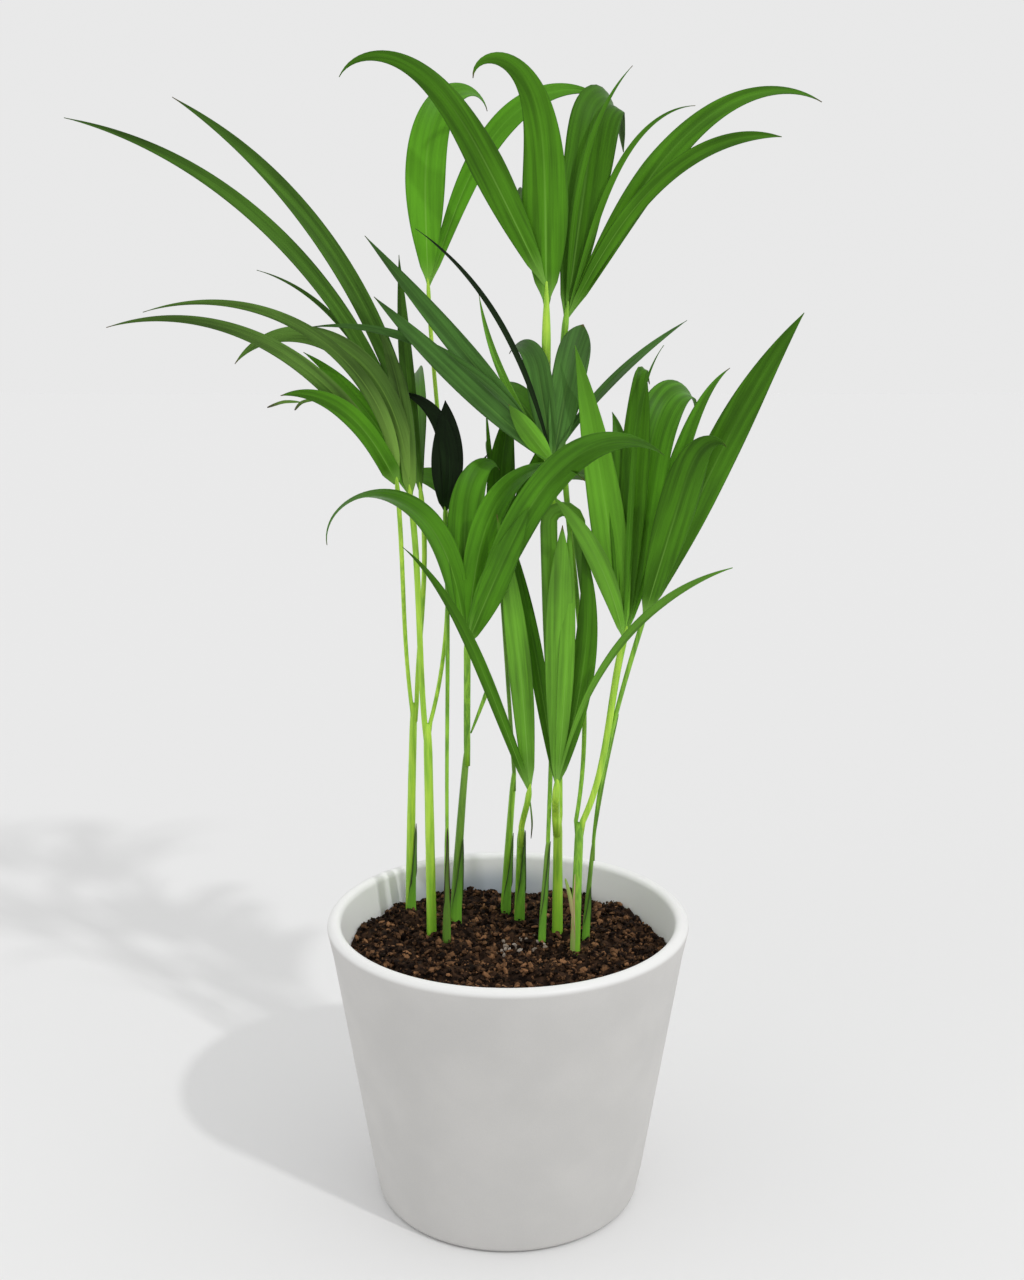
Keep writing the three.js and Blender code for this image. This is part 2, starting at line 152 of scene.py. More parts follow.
@dataclass(frozen=True)
class Leaflet:
    """A pointed blade that leaves the rib, climbs and bends over by the source's rule."""

    length: float
    width: float
    toward: float
    rise: float
    fall: float
    bend: float = 1.0
    bent_from: float = 0.0
    bent_to: float = 1.0
    roll: float = 0.0
    twist: float = 0.0
    widest: float = 0.45
    root: float = 0.2
    taper: float = 2.0
    at: float = 2.0
    tone: LeafTone | None = None

    def climb(self, share: float) -> float:
        """Gives the climb, in degrees, at a share of the length."""
        bent = clamped((share - self.bent_from) / (self.bent_to - self.bent_from))
        return between(self.rise, self.fall, bent**self.bend)

    def half_width(self, share: float) -> float:
        """Gives half the blade's width, in millimetres, at a share of the length.

        Args:
            share: Share of the length.

        Returns:
            Half the width.
        """
        if share < self.widest:
            outline = between(self.root, 1.0, math.sin(math.pi / 2 * share / self.widest))
        else:
            outline = 1.0 - ((share - self.widest) / (1.0 - self.widest)) ** self.taper
        return self.width / 2 * outline

    def stations(self, start: Vector, steps: int) -> list[Station]:
        # painted shade: near-black green standing in for the shade deep in the crown
        """Follows the blade's rib.

        Args:
            start: Where the blade leaves the frond's rib, in millimetres.
            steps: How many steps to take.

        Returns:
            One station for each end of a step.
        """
        side = heading(self.toward - 90, 0)
        point = start.copy()
        made = []
        for i in range(steps + 1):
            if i > 0:
                point = point + heading(self.toward, self.climb((i - 0.5) / steps)) * (self.length / steps)
            along = heading(self.toward, self.climb(i / steps))
            turn = math.radians(self.roll + self.twist * i / steps)
            across = Matrix.Rotation(-turn, 3, along) @ side
            made.append(Station(point, along, across, across.cross(along)))
        return made


@dataclass(frozen=True)
class Sheath:
    """A pointed scale that wraps part of a stem's foot."""

    side: float
    height: float
    spread: float = 95.0
    low: float = -2.0
    flare: float = 0.25
    stand_off: float = 0.25
    tone: SheathTone = SheathTone.GREEN


@dataclass(frozen=True)
class Stem:
    """A young stem: its foot on the soil, its top, and its radius at foot and top."""

    foot: tuple[float, float]
    top: Point
    radius: tuple[float, float]
    tone: LimbTone = LimbTone.GREEN
    sheaths: tuple[Sheath, ...] = ()

    LEAN = 1.4
    FLARE = 1.5
    FOOT_HEIGHT = SOIL_LEVEL - 3.0

    def centre(self, share: float) -> Vector:
        """Gives the middle of the stem at a share of its height.

        Args:
            share: Share of the height.

        Returns:
            The middle, in millimetres.
        """
        lean = share**self.LEAN
        return Vector(
            (
                between(self.foot[0], self.top[0], lean),
                between(self.foot[1], self.top[1], lean),
                between(self.FOOT_HEIGHT, self.top[2], share),
            )
        )

    def half(self, share: float) -> float:
        """Gives the stem's radius at a share of its height."""
        return self.radius[1] + (self.radius[0] - self.radius[1]) * (1 - clamped(share)) ** self.FLARE

    def share_at(self, height: float) -> float:
        """Gives the share of the stem's height that a height above the base lies at."""
        return (height - self.FOOT_HEIGHT) / (self.top[2] - self.FOOT_HEIGHT)


@dataclass(frozen=True)
class Rib:
    """The short rib of a frond."""

    length: float
    toward: float
    rise: float
    radius: float


@dataclass(frozen=True)
class Stalk:
    """How a frond's stalk stands on its stem's top."""

    stem: str
    offset: tuple[float, float]
    radius: float
    toward: float
    rise: float


@dataclass(frozen=True)
class Frond:
    """A frond: where its rib stands on the stalk, and its leaflets."""

    base: Point
    rib: Rib
    stalk: Stalk
    leaflets: tuple[Leaflet, ...]
    tone: LeafTone = LeafTone.MIDDLE
    limb: LimbTone = LimbTone.GREEN


STEMS: dict[str, Stem] = {
    "left_back": Stem((-40.5, 34), (-37.5, 30, 190.5), (2, 1.5), LimbTone.LIME,
                      (Sheath(-30, 41),)),
    "left_front": Stem((-30.5, 12), (-31.3, 14, 186.5), (2, 1.7), LimbTone.LIME),
    "middle_left_thin": Stem((-24.2, 5), (-23.8, 8, 146.5), (1.3, 0.9), LimbTone.GREEN,
                             (Sheath(-80, 48, tone=SheathTone.DRY),)),
    "middle_left": Stem((-21.5, 20.5), (-16, 16, 176.5), (2.3, 1.3), LimbTone.OLIVE,
                        (Sheath(-50, 37),
                         Sheath(100, 20),)),
    "middle_back": Stem((-1.3, 33), (2.4, 30, 161.5), (2, 1.2), LimbTone.GREEN,
                        (Sheath(-40, 34),)),
    "middle": Stem((4.4, 24), (5.3, 14, 143.5), (2, 1.6), LimbTone.GREEN,
                   (Sheath(-50, 41),)),
    "right_thin": Stem((13, 1.5), (15.6, 6, 141.5), (1.4, 0.9), LimbTone.OLIVE,
                       (Sheath(-50, 42),)),
    "right_bright": Stem((19.7, 12), (19.5, 10, 149.5), (2.2, 1.8), LimbTone.LIME),
    "right_front": Stem((25.9, -7.5), (27.6, 1, 150.5), (2, 1.7), LimbTone.GREEN,
                        (Sheath(-120, 31, spread=30.0, flare=0.15, tone=SheathTone.PALE),)),
    "right_back": Stem((30.5, 7), (33.4, 7, 140.5), (1.4, 0.8), LimbTone.OLIVE,
                       (Sheath(-60, 22),)),
}

FRONDS: dict[str, Frond] = {
    "left_tall": Frond(
        base=(-30, 34, 349.5),
        rib=Rib(7, 0, 92, 0.8),
        stalk=Stalk("left_front", (1.2, 0.4), 0.8, 40, 70),
        leaflets=(
            Leaflet(94, 15, 40, 92, -72, bend=4.1, roll=-50, root=0.1),
            Leaflet(109, 9, 16, 70, -22, bend=2.8, roll=-74, widest=0.6, root=0.15),
            Leaflet(82, 11, 88, 70, -40, bend=1.6, roll=45, tone=LeafTone.MIDDLE),
        ),
        tone=LeafTone.BRIGHT,
        limb=LimbTone.LIME,
    ),
    "top": Frond(
        base=(14.3, 20, 332.5),
        rib=Rib(21, 180, 90, 1.7),
        stalk=Stalk("right_bright", (0.9, 1.3), 1, 90, 78),
        leaflets=(
            Leaflet(120, 12.5, 188, 63, -63, bend=4.8, roll=-80, widest=0.4, taper=1.3, at=19),
            Leaflet(106, 17, 195, 89, -92, bend=6, roll=-75, widest=0.35, taper=1.4, at=12),
            Leaflet(92, 12, 100, 72, -45, bend=1.7, roll=-45, at=8, tone=LeafTone.DEEP),
        ),
        tone=LeafTone.MIDDLE,
        limb=LimbTone.LIME,
    ),
    "right_tall": Frond(
        base=(21.5, 26, 337.5),
        rib=Rib(9, 0, 84, 1.3),
        stalk=Stalk("right_front", (-1.4, 0.6), 0.8, 60, 68),
        leaflets=(
            Leaflet(108, 19, 52, 77, -68, bend=3.4, bent_from=0.54, bent_to=0.86, roll=-40, widest=0.68),
            Leaflet(98, 2.5, 15, 73, 3, bend=3.4, roll=-75),
            Leaflet(142, 10.5, 15, 60, -26, bend=2.9, roll=-75, taper=1.3),
            Leaflet(111, 6, 5, 62, -8, bend=2.1, roll=-85, taper=4),
            Leaflet(98, 2.5, 25, 86, 44, bend=2.4, roll=-65),
            Leaflet(96, 12, 78, 68, -40, bend=1.6, roll=45, tone=LeafTone.DEEP),
        ),
        tone=LeafTone.MIDDLE,
        limb=LimbTone.GREEN,
    ),
    "left_upper": Frond(
        base=(-33, 22, 273.5),
        rib=Rib(6, 180, 84, 1),
        stalk=Stalk("left_back", (1.1, 0), 0.9, 0, 88),
        leaflets=(
            Leaflet(205, 6, 170, 76, 12, bend=1.1, roll=80, root=0.5),
            Leaflet(186, 7.5, 160, 85, 29, bend=0.9, roll=70, root=0.5),
            Leaflet(110, 2.5, 165, 73, 14, bend=1.8, roll=75),
            Leaflet(88, 5.4, 180, 83, 88, roll=90, root=0.5),
            Leaflet(88, 10, 95, 72, -35, bend=1.5, roll=45, tone=LeafTone.DEEP),
            Leaflet(76, 10, 104, 58, -50, bend=1.3, roll=-45, tone=LeafTone.DEEP),
        ),
        tone=LeafTone.DULL,
        limb=LimbTone.LIME,
    ),
    "left_middle": Frond(
        base=(-36.3, 12, 273.5),
        rib=Rib(6, 180, 84, 1.2),
        stalk=Stalk("left_front", (-1.1, -0.2), 1.1, 180, 86),
        leaflets=(
            Leaflet(105, 8.5, 185, 85, -54, bend=1.8, roll=-85, root=0.6),
            Leaflet(64, 7, 150, 87, 60, bend=2, roll=60, root=0.6),
            Leaflet(67, 6.5, 174, 71, 32, bend=1.2, roll=80, root=0.5, tone=LeafTone.LIVELY),
        ),
        tone=LeafTone.WILTED,
        limb=LimbTone.LIME,
    ),
    "left_lower": Frond(
        base=(-41, 8, 278.5),
        rib=Rib(6, 180, 86, 0.9),
        stalk=Stalk("left_back", (-1.1, -0.3), 0.8, 180, 84),
        leaflets=(
            Leaflet(126, 5.5, 195, 91, -18, bend=0.95, roll=-75, widest=0.3, root=0.5, taper=1.4),
            Leaflet(127, 6.5, 200, 62, -17, bend=1.4, roll=-70, widest=0.3, root=0.6, taper=1.6),
            Leaflet(59, 7.5, 205, 62, -13, bend=2, roll=-65, root=0.9, tone=LeafTone.MIDDLE),
        ),
        tone=LeafTone.WILTED,
        limb=LimbTone.LIME,
    ),
    "centre_high": Frond(
        base=(16.6, 4, 286.5),
        rib=Rib(5, 180, 88, 1.3),
        stalk=Stalk("right_thin", (0, 0), 0.8, 82, 72),
        leaflets=(
            Leaflet(107, 8.2, 170, 53, 48, bend=0.4, roll=80, taper=1.6),
            Leaflet(88, 8.2, 178, 39, 44, bend=0.4, roll=85),
            Leaflet(108, 4, 175, 58, -7, bend=1.2, roll=75),
            Leaflet(69, 3, 150, 51, 80, bend=1.5, roll=60, tone=LeafTone.FRESH),
            Leaflet(27, 7.5, 190, 50, 55, roll=-80, tone=LeafTone.FRESH),
            Leaflet(62, 10, 118, 71, -40, bent_from=0.55, roll=40),
            Leaflet(101, 2.2, 165, 75, 33, bend=1.5, roll=75, tone=LeafTone.SHADED),
            Leaflet(56, 13, 62, 68, 44, bent_from=0.6, roll=-40, widest=0.6, taper=3.5),
            Leaflet(82, 3.5, 34, 72, 26, bend=0.4, roll=-70),
            Leaflet(66, 11, 122, 56, -35, bend=1.4, roll=45, tone=LeafTone.DEEP),
        ),
        tone=LeafTone.COOL,
        limb=LimbTone.GREEN,
    ),
    "behind_left": Frond(
        base=(-23.8, 18, 266.5),
        rib=Rib(5, 0, 92, 0.9),
        stalk=Stalk("middle_left_thin", (0, 0), 0.7, 90, 88),
        leaflets=(
            Leaflet(54, 7, 172, 100, 5, bend=2, roll=80),
            Leaflet(42, 12, 180, 94, 84, bend=2, roll=90),
            Leaflet(28, 2.5, 20, 52, 50, roll=-60),
        ),
        tone=LeafTone.SHADED,
        limb=LimbTone.GREEN,
    ),
    "inner": Frond(
        base=(-3, 28, 243.5),
        rib=Rib(5, 180, 86, 0.8),
        stalk=Stalk("middle_back", (0, 0), 0.8, 180, 86),
        leaflets=(
            Leaflet(62, 2.6, 165, 84, 86, roll=75),
            Leaflet(64, 11, 30, 89, 72, bent_from=0.5, roll=-60),
            Leaflet(76, 9, 14, 70, 60, roll=-70),
            Leaflet(86, 11, 95, 66, -30, bend=1.6, roll=-45),
            Leaflet(72, 11, 140, 62, -30, bend=1.6, roll=40),
            Leaflet(88, 12, 52, 58, -40, bend=1.4, roll=45),
            Leaflet(90, 12, 76, 38, -45, bend=1.3, roll=-45),
            Leaflet(80, 11, 112, 30, -50, bend=1.3, roll=-45),
        ),
        tone=LeafTone.DEEP,
        limb=LimbTone.OLIVE,
    ),
    "right_upright": Frond(
        base=(43, 0, 221),
        rib=Rib(7, 0, 78, 1.4),
        stalk=Stalk("right_front", (1.2, -0.5), 1.2, 0, 66),
        leaflets=(
            Leaflet(110, 13, 155, 81, 75, bend=2.1, roll=65, widest=0.35, tone=LeafTone.VIVID),
            Leaflet(
                109, 10.5, 60, 84, -50,
                bend=3.5, bent_from=0.84, bent_to=0.94, roll=-30, widest=0.6, tone=LeafTone.MIDDLE,
            ),
            Leaflet(
                116, 16, 48, 79, -70,
                bend=3, bent_from=0.45, bent_to=0.97, roll=-40, widest=0.7, root=0.1,
            ),
            Leaflet(111, 7, 30, 71, 29, bend=6, roll=-60),
            Leaflet(110, 2.4, 15, 88, 52, bend=6, roll=-75),
            Leaflet(46, 4, 170, 72, 68, roll=80),
            Leaflet(86, 9, 110, 85, 40, bent_from=0.8, roll=20, widest=0.6),
            Leaflet(64, 7.5, 205, 76, 44, bend=1.2, roll=-70, tone=LeafTone.FRESH),
            Leaflet(90, 11, 98, 60, -38, bend=1.3, roll=45, tone=LeafTone.DEEP),
            Leaflet(76, 11, 84, 46, -48, bend=1.2, roll=-45, tone=LeafTone.DEEP),
        ),
        tone=LeafTone.LIVELY,
        limb=LimbTone.LIME,
    ),
    "right_long": Frond(
        base=(50, -2, 229.5),
        rib=Rib(6, 0, 74, 1),
        stalk=Stalk("right_back", (0, 0), 0.7, 0, 86),
        leaflets=(
            Leaflet(124, 13, -20, 67, 54, bend=3, roll=70, widest=0.5),
            Leaflet(80, 14, -40, 72, -52, bend=4.5, bent_from=0.5, roll=50, widest=0.6),
        ),
        tone=LeafTone.MIDDLE,
        limb=LimbTone.GREEN,
    ),
    "front_left": Frond(
        base=(-15.5, 8, 217),
        rib=Rib(6, 0, 90, 1.3),
        stalk=Stalk("middle_left", (0, 0), 1.3, 0, 90),
        leaflets=(
            Leaflet(102, 11, 200, 81, -97, bend=2.5, roll=-70, twist=62, taper=3),
            Leaflet(103, 11, -38, 83, -37, bend=2.5, roll=60, twist=-50),
            Leaflet(81, 13, 50, 92, -55, bend=5.5, roll=-40, widest=0.6),
            Leaflet(132, 12, -42, 63, -28, bend=2.9, roll=50, taper=3),
            Leaflet(64, 11, -44, 62, 58, roll=60),
            Leaflet(72, 10, 78, 50, -52, bend=1.2, roll=45, tone=LeafTone.DEEP),
        ),
        tone=LeafTone.LIVELY,
        limb=LimbTone.GREEN,
    ),
    "front_low": Frond(
        base=(8, 7, 159.5),
        rib=Rib(5, -60, 76, 1.2),
        stalk=Stalk("middle", (0, 0), 1.2, -60, 74),
        leaflets=(
            Leaflet(112, 4.8, 205, 69, 41, bend=3.5, roll=-65, root=0.5, tone=LeafTone.MIDDLE),
            Leaflet(110, 8.8, 215, 86, 76, bend=1.6, roll=-60, root=0.4),
        ),
        tone=LeafTone.FRESH,
        limb=LimbTone.LIME,
    ),
    "front_right": Frond(
        base=(18.5, 1, 162.5),
        rib=Rib(7, 0, 86, 1.5),
        stalk=Stalk("right_bright", (-0.8, -1.5), 1.6, -90, 80),
        leaflets=(
            Leaflet(102, 6, 128, 76, 66, bend=2, roll=34, tone=LeafTone.MIDDLE),
            Leaflet(164, 6.5, -10, 92, -84, bent_from=0.62, bent_to=0.72, roll=70, root=0.3, taper=3),
            Leaflet(104, 10, -85, 88, 78, roll=5, widest=0.55, taper=2.6),
            Leaflet(106, 6, -60, 80, 92, roll=35),
            Leaflet(97, 9, -15, 76, 102, bend=2, roll=75, tone=LeafTone.MIDDLE),
            Leaflet(122, 3.2, -35, 76, 20, bend=1.35, roll=55, widest=0.7, root=0.1),
        ),
        tone=LeafTone.FRESH,
        limb=LimbTone.LIME,
    ),
}


class Graph:
    """A node tree, with short ways to add nodes and join them."""

    def __init__(self, tree: bpy.types.NodeTree) -> None:
        """Starts on an empty tree."""
        self.tree = tree
        tree.nodes.clear()

    def add(self, kind: str, **settings: object) -> bpy.types.Node:
        """Adds a node and sets its plain settings.

        Args:
            kind: The node's type.
            settings: Its plain settings, by name.

        Returns:
            The node.
        """
        node = self.tree.nodes.new(kind)
        for name, value in settings.items():
            setattr(node, name, value)
        return node

    def feed(self, socket: bpy.types.NodeSocket, value: object) -> None:
        """Joins a socket to another, or sets its own value.

        Args:
            socket: The socket to feed.
            value: A socket or a plain value.
        """
        if isinstance(value, bpy.types.NodeSocket):
            self.tree.links.new(value, socket)
        else:
            socket.default_value = value

    def math(self, operation: str, *values: object, clamp: bool = False) -> bpy.types.NodeSocket:
        """Adds a Math node and gives its output.

        Args:
            operation: The node's operation.
            values: Sockets or plain values, in order.
            clamp: Whether the result stays between 0 and 1.

        Returns:
            The result.
        """
        node = self.add("ShaderNodeMath", operation=operation, use_clamp=clamp)
        for socket, value in zip(node.inputs, values):
            self.feed(socket, value)
        return node.outputs[0]

    def blend(self, first: object, second: object, share: float) -> bpy.types.NodeSocket:
        """Adds two values, the second by a share and the first by the rest."""
        return self.math("ADD", self.math("MULTIPLY", first, 1.0 - share),
                         self.math("MULTIPLY", second, share))

    def mix(self, share: object, low: object, high: object, blend: str = "MIX") -> bpy.types.NodeSocket:
        """Mixes two colours and gives the mixed one.

        Args:
            share: How much of the second colour there is.
            low: The first colour.
            high: The second colour.
            blend: The node's way of blending.

        Returns:
            The mixed colour.
        """
        node = self.add("ShaderNodeMix", data_type="RGBA", blend_type=blend)
        for place, value in ((0, share), (6, low), (7, high)):
            self.feed(node.inputs[place], value)
        return node.outputs[2]

    def spread(self, value: object, low: float, high: float, to_low: float = 0.0, to_high: float = 1.0,
               smooth: bool = True) -> bpy.types.NodeSocket:
        """Maps a value from one range to another, with soft ends unless told otherwise.

        Args:
            value: The value to map.
            low: Where its range starts.
            high: Where its range ends.
            to_low: What the start becomes.
            to_high: What the end becomes.
            smooth: Whether both ends are soft.

        Returns:
            The mapped value.
        """
        kind = "SMOOTHSTEP" if smooth else "LINEAR"
        node = self.add("ShaderNodeMapRange", interpolation_type=kind)
        for place, given in enumerate((value, low, high, to_low, to_high)):
            self.feed(node.inputs[place], given)
        return node.outputs[0]

    def noise(self, vector: object, scale: float, detail: float = 3.0,
              rough: float = 0.55) -> bpy.types.NodeSocket:
        """Adds a Noise Texture and gives its value.

        Args:
            vector: Where the noise is read.
            scale: How fine it is.
            detail: How many finer layers it has.
            rough: How much those layers count.

        Returns:
            The noise, from 0 to 1.
        """
        node = self.add("ShaderNodeTexNoise")
        self.feed(node.inputs["Vector"], vector)
        node.inputs["Scale"].default_value = scale
        node.inputs["Detail"].default_value = detail
        node.inputs["Roughness"].default_value = rough
        return node.outputs["Fac"]

    def stretched(self, vector: object, scale: Point) -> bpy.types.NodeSocket:
        """Scales a coordinate unevenly with a Mapping node.

        Args:
            vector: The coordinate.
            scale: Its scale along X, Y and Z.

        Returns:
            The scaled coordinate.
        """
        node = self.add("ShaderNodeMapping")
        self.feed(node.inputs["Vector"], vector)
        node.inputs["Scale"].default_value = scale
        return node.outputs["Vector"]

    def place(self) -> bpy.types.NodeSocket:
        """Gives Object coordinates."""
        return self.add("ShaderNodeTexCoord").outputs["Object"]

    def split(self, vector: object) -> bpy.types.NodeOutputs:
        """Splits a vector into X, Y and Z.

        Args:
            vector: The vector.

        Returns:
            The outputs X, Y and Z.
        """
        node = self.add("ShaderNodeSeparateXYZ")
        self.feed(node.inputs[0], vector)
        return node.outputs


class Pattern:
    """Shader node groups that several finishes share, each built once."""

    FIBRE_BAND = (0.34, 0.66)
    PATCH_BAND = (0.3, 0.7)
    OWN_SHIFT = 40.0
    STREAK_SCALE = (5.0, 0.14, 1.0)
    VEIN_SCALE = (34.0, 0.5, 1.0)
    FIBRE_SCALE = (1.0, 1.0, 0.04)
    FIBRE_PATCH_SCALE = (1.0, 1.0, 0.35)
    FIBRE_PATCHES = 140.0
    GRAIN = 2600.0
    FINE_SHARE = 0.45
    GRAIN_SHARE = 0.4

    def __init__(self) -> None:
        """Builds the groups."""
        self.veins = self._veins()
        self.streaks = self._streaks()
        self.mottle = self._mottle()

    @staticmethod
    def _group(name: str, inputs: Sequence[tuple[str, str, object]],
               outputs: Sequence[str]) -> tuple[bpy.types.NodeTree, Graph, bpy.types.Node, bpy.types.Node]:
        """Starts a group.

        Args:
            name: The group's name.
            inputs: Name, socket type and default of each input.
            outputs: Name of each output, all of them values.

        Returns:
            The tree, its graph, its input node and its output node.
        """
        tree = bpy.data.node_groups.new(name, "ShaderNodeTree")
        for label, kind, default in inputs:
            socket = tree.interface.new_socket(name=label, in_out="INPUT", socket_type=kind)
            if default is not None:
                socket.default_value = default
        for label in outputs:
            tree.interface.new_socket(name=label, in_out="OUTPUT", socket_type="NodeSocketFloat")
        graph = Graph(tree)
        return tree, graph, graph.add("NodeGroupInput"), graph.add("NodeGroupOutput")

    def _veins(self) -> bpy.types.NodeTree:
        """Builds the long streaks and fine veins of a blade, from its width and length in centimetres.

        Returns:
            The group, with the values Streak and Fine, and Height for the relief.
        """
        inputs = (("Blade", "NodeSocketVector", None), ("Own", "NodeSocketFloat", 0.5))
        tree, graph, given, out = self._group("blade_veins", inputs, ("Streak", "Fine", "Height"))
        shift = graph.add("ShaderNodeCombineXYZ")
        graph.feed(shift.inputs["Z"], graph.math("MULTIPLY", given.outputs["Own"], self.OWN_SHIFT))
        moved = graph.add("ShaderNodeVectorMath", operation="ADD")
        graph.feed(moved.inputs[0], given.outputs["Blade"])
        graph.feed(moved.inputs[1], shift.outputs[0])
        streak = graph.noise(graph.stretched(moved.outputs[0], self.STREAK_SCALE), 1.0, 3.0)
        fine = graph.noise(graph.stretched(moved.outputs[0], self.VEIN_SCALE), 1.0, 2.0)
        height = graph.blend(streak, fine, self.FINE_SHARE)
        graph.feed(out.inputs["Streak"], graph.spread(streak, *self.FIBRE_BAND))
        graph.feed(out.inputs["Fine"], graph.spread(fine, *self.FIBRE_BAND))
        graph.feed(out.inputs["Height"], height)
        return tree

    def _streaks(self) -> bpy.types.NodeTree:
        """Builds long upright fibres for stems, stalks and sheaths.

        Returns:
            The group, with the fibres' Value, and Height for the relief.
        """
        inputs = (("Vector", "NodeSocketVector", None), ("Scale", "NodeSocketFloat", 900.0))
        tree, graph, given, out = self._group("upright_fibres", inputs, ("Value", "Height"))
        fibres = graph.add("ShaderNodeTexNoise")
        graph.feed(fibres.inputs["Vector"], graph.stretched(given.outputs["Vector"], self.FIBRE_SCALE))
        graph.feed(fibres.inputs["Scale"], given.outputs["Scale"])
        fibres.inputs["Detail"].default_value = 3.0
        wide = graph.stretched(given.outputs["Vector"], self.FIBRE_PATCH_SCALE)
        patches = graph.noise(wide, self.FIBRE_PATCHES, 3.0)
        value = graph.blend(fibres.outputs["Fac"], patches, self.FINE_SHARE)
        graph.feed(out.inputs["Value"], graph.spread(value, *self.FIBRE_BAND))
        graph.feed(out.inputs["Height"], fibres.outputs["Fac"])
        return tree

    def _mottle(self) -> bpy.types.NodeTree:
        """Builds soft uneven patches with fine grain for fired clay and soil.

        Returns:
            The group, with the values Patches and Grain, and Height for the relief.
        """
        inputs = (("Vector", "NodeSocketVector", None), ("Scale", "NodeSocketFloat", 60.0))
        tree, graph, given, out = self._group("mottle", inputs, ("Patches", "Grain", "Height"))
        patches = graph.add("ShaderNodeTexNoise")
        graph.feed(patches.inputs["Vector"], given.outputs["Vector"])
        graph.feed(patches.inputs["Scale"], given.outputs["Scale"])
        patches.inputs["Detail"].default_value = 4.0
        grain = graph.noise(given.outputs["Vector"], self.GRAIN, 2.0, 0.6)
        height = graph.blend(patches.outputs["Fac"], grain, self.GRAIN_SHARE)
        graph.feed(out.inputs["Patches"], graph.spread(patches.outputs["Fac"], *self.PATCH_BAND))
        graph.feed(out.inputs["Grain"], graph.spread(grain, *self.PATCH_BAND))
        graph.feed(out.inputs["Height"], height)
        return tree


@dataclass(frozen=True)
class Shader:
    """A material under way: its graph and its Principled shader."""

    material: bpy.types.Material
    graph: Graph
    surface: bpy.types.Node

    @classmethod
    def start(cls, name: str, specular: float, **plain: float) -> "Shader":
        """Starts a material.

        Args:
            name: The material's name.
            specular: The shader's specular level.
            plain: Other plain values, by socket name with underscores for spaces.

        Returns:
            The material with its shader joined to the output.
        """
        material = bpy.data.materials.new(name)
        material.use_nodes = True
        graph = Graph(material.node_tree)
        surface = graph.add("ShaderNodeBsdfPrincipled")
        surface.inputs["Specular IOR Level"].default_value = specular
        for label, value in plain.items():
            surface.inputs[label.replace("_", " ")].default_value = value
        out = graph.add("ShaderNodeOutputMaterial")
        graph.feed(out.inputs["Surface"], surface.outputs["BSDF"])
        return cls(material, graph, surface)

    def pattern(self, tree: bpy.types.NodeTree, **values: object) -> bpy.types.NodeOutputs:
        """Places a shared group and gives its outputs.

        Args:
            tree: The shared group.
            values: What its inputs are fed, by name.

        Returns:
            The group's outputs.
        """
        node = self.graph.add("ShaderNodeGroup", node_tree=tree)
        for label, value in values.items():
            self.graph.feed(node.inputs[label], value)
        return node.outputs

    def shade(self, colour: object, roughness: object) -> None:
        """Feeds the base colour and the roughness."""
        self.graph.feed(self.surface.inputs["Base Color"], colour)
        self.graph.feed(self.surface.inputs["Roughness"], roughness)

    def relief(self, height: object, distance: float, strength: float = 1.0) -> None:
        """Feeds a Bump node whose depth is given in metres.

        Args:
            height: The relief's height, from 0 to 1.
            distance: Its depth, in metres.
            strength: How much of it shows.
        """
        bump = self.graph.add("ShaderNodeBump")
        bump.inputs["Distance"].default_value = distance
        bump.inputs["Strength"].default_value = strength
        self.graph.feed(bump.inputs["Height"], height)
        self.graph.feed(self.surface.inputs["Normal"], bump.outputs["Normal"])

    def attribute(self, name: str) -> bpy.types.NodeOutputs:
        """Splits a colour attribute of the piece into its three values."""
        node = self.graph.add("ShaderNodeAttribute", attribute_name=name)
        return self.graph.split(node.outputs["Vector"])


def opaque(colour: Colour) -> tuple[float, float, float, float]:
    """Gives a colour with full alpha."""
    return (*colour, 1.0)


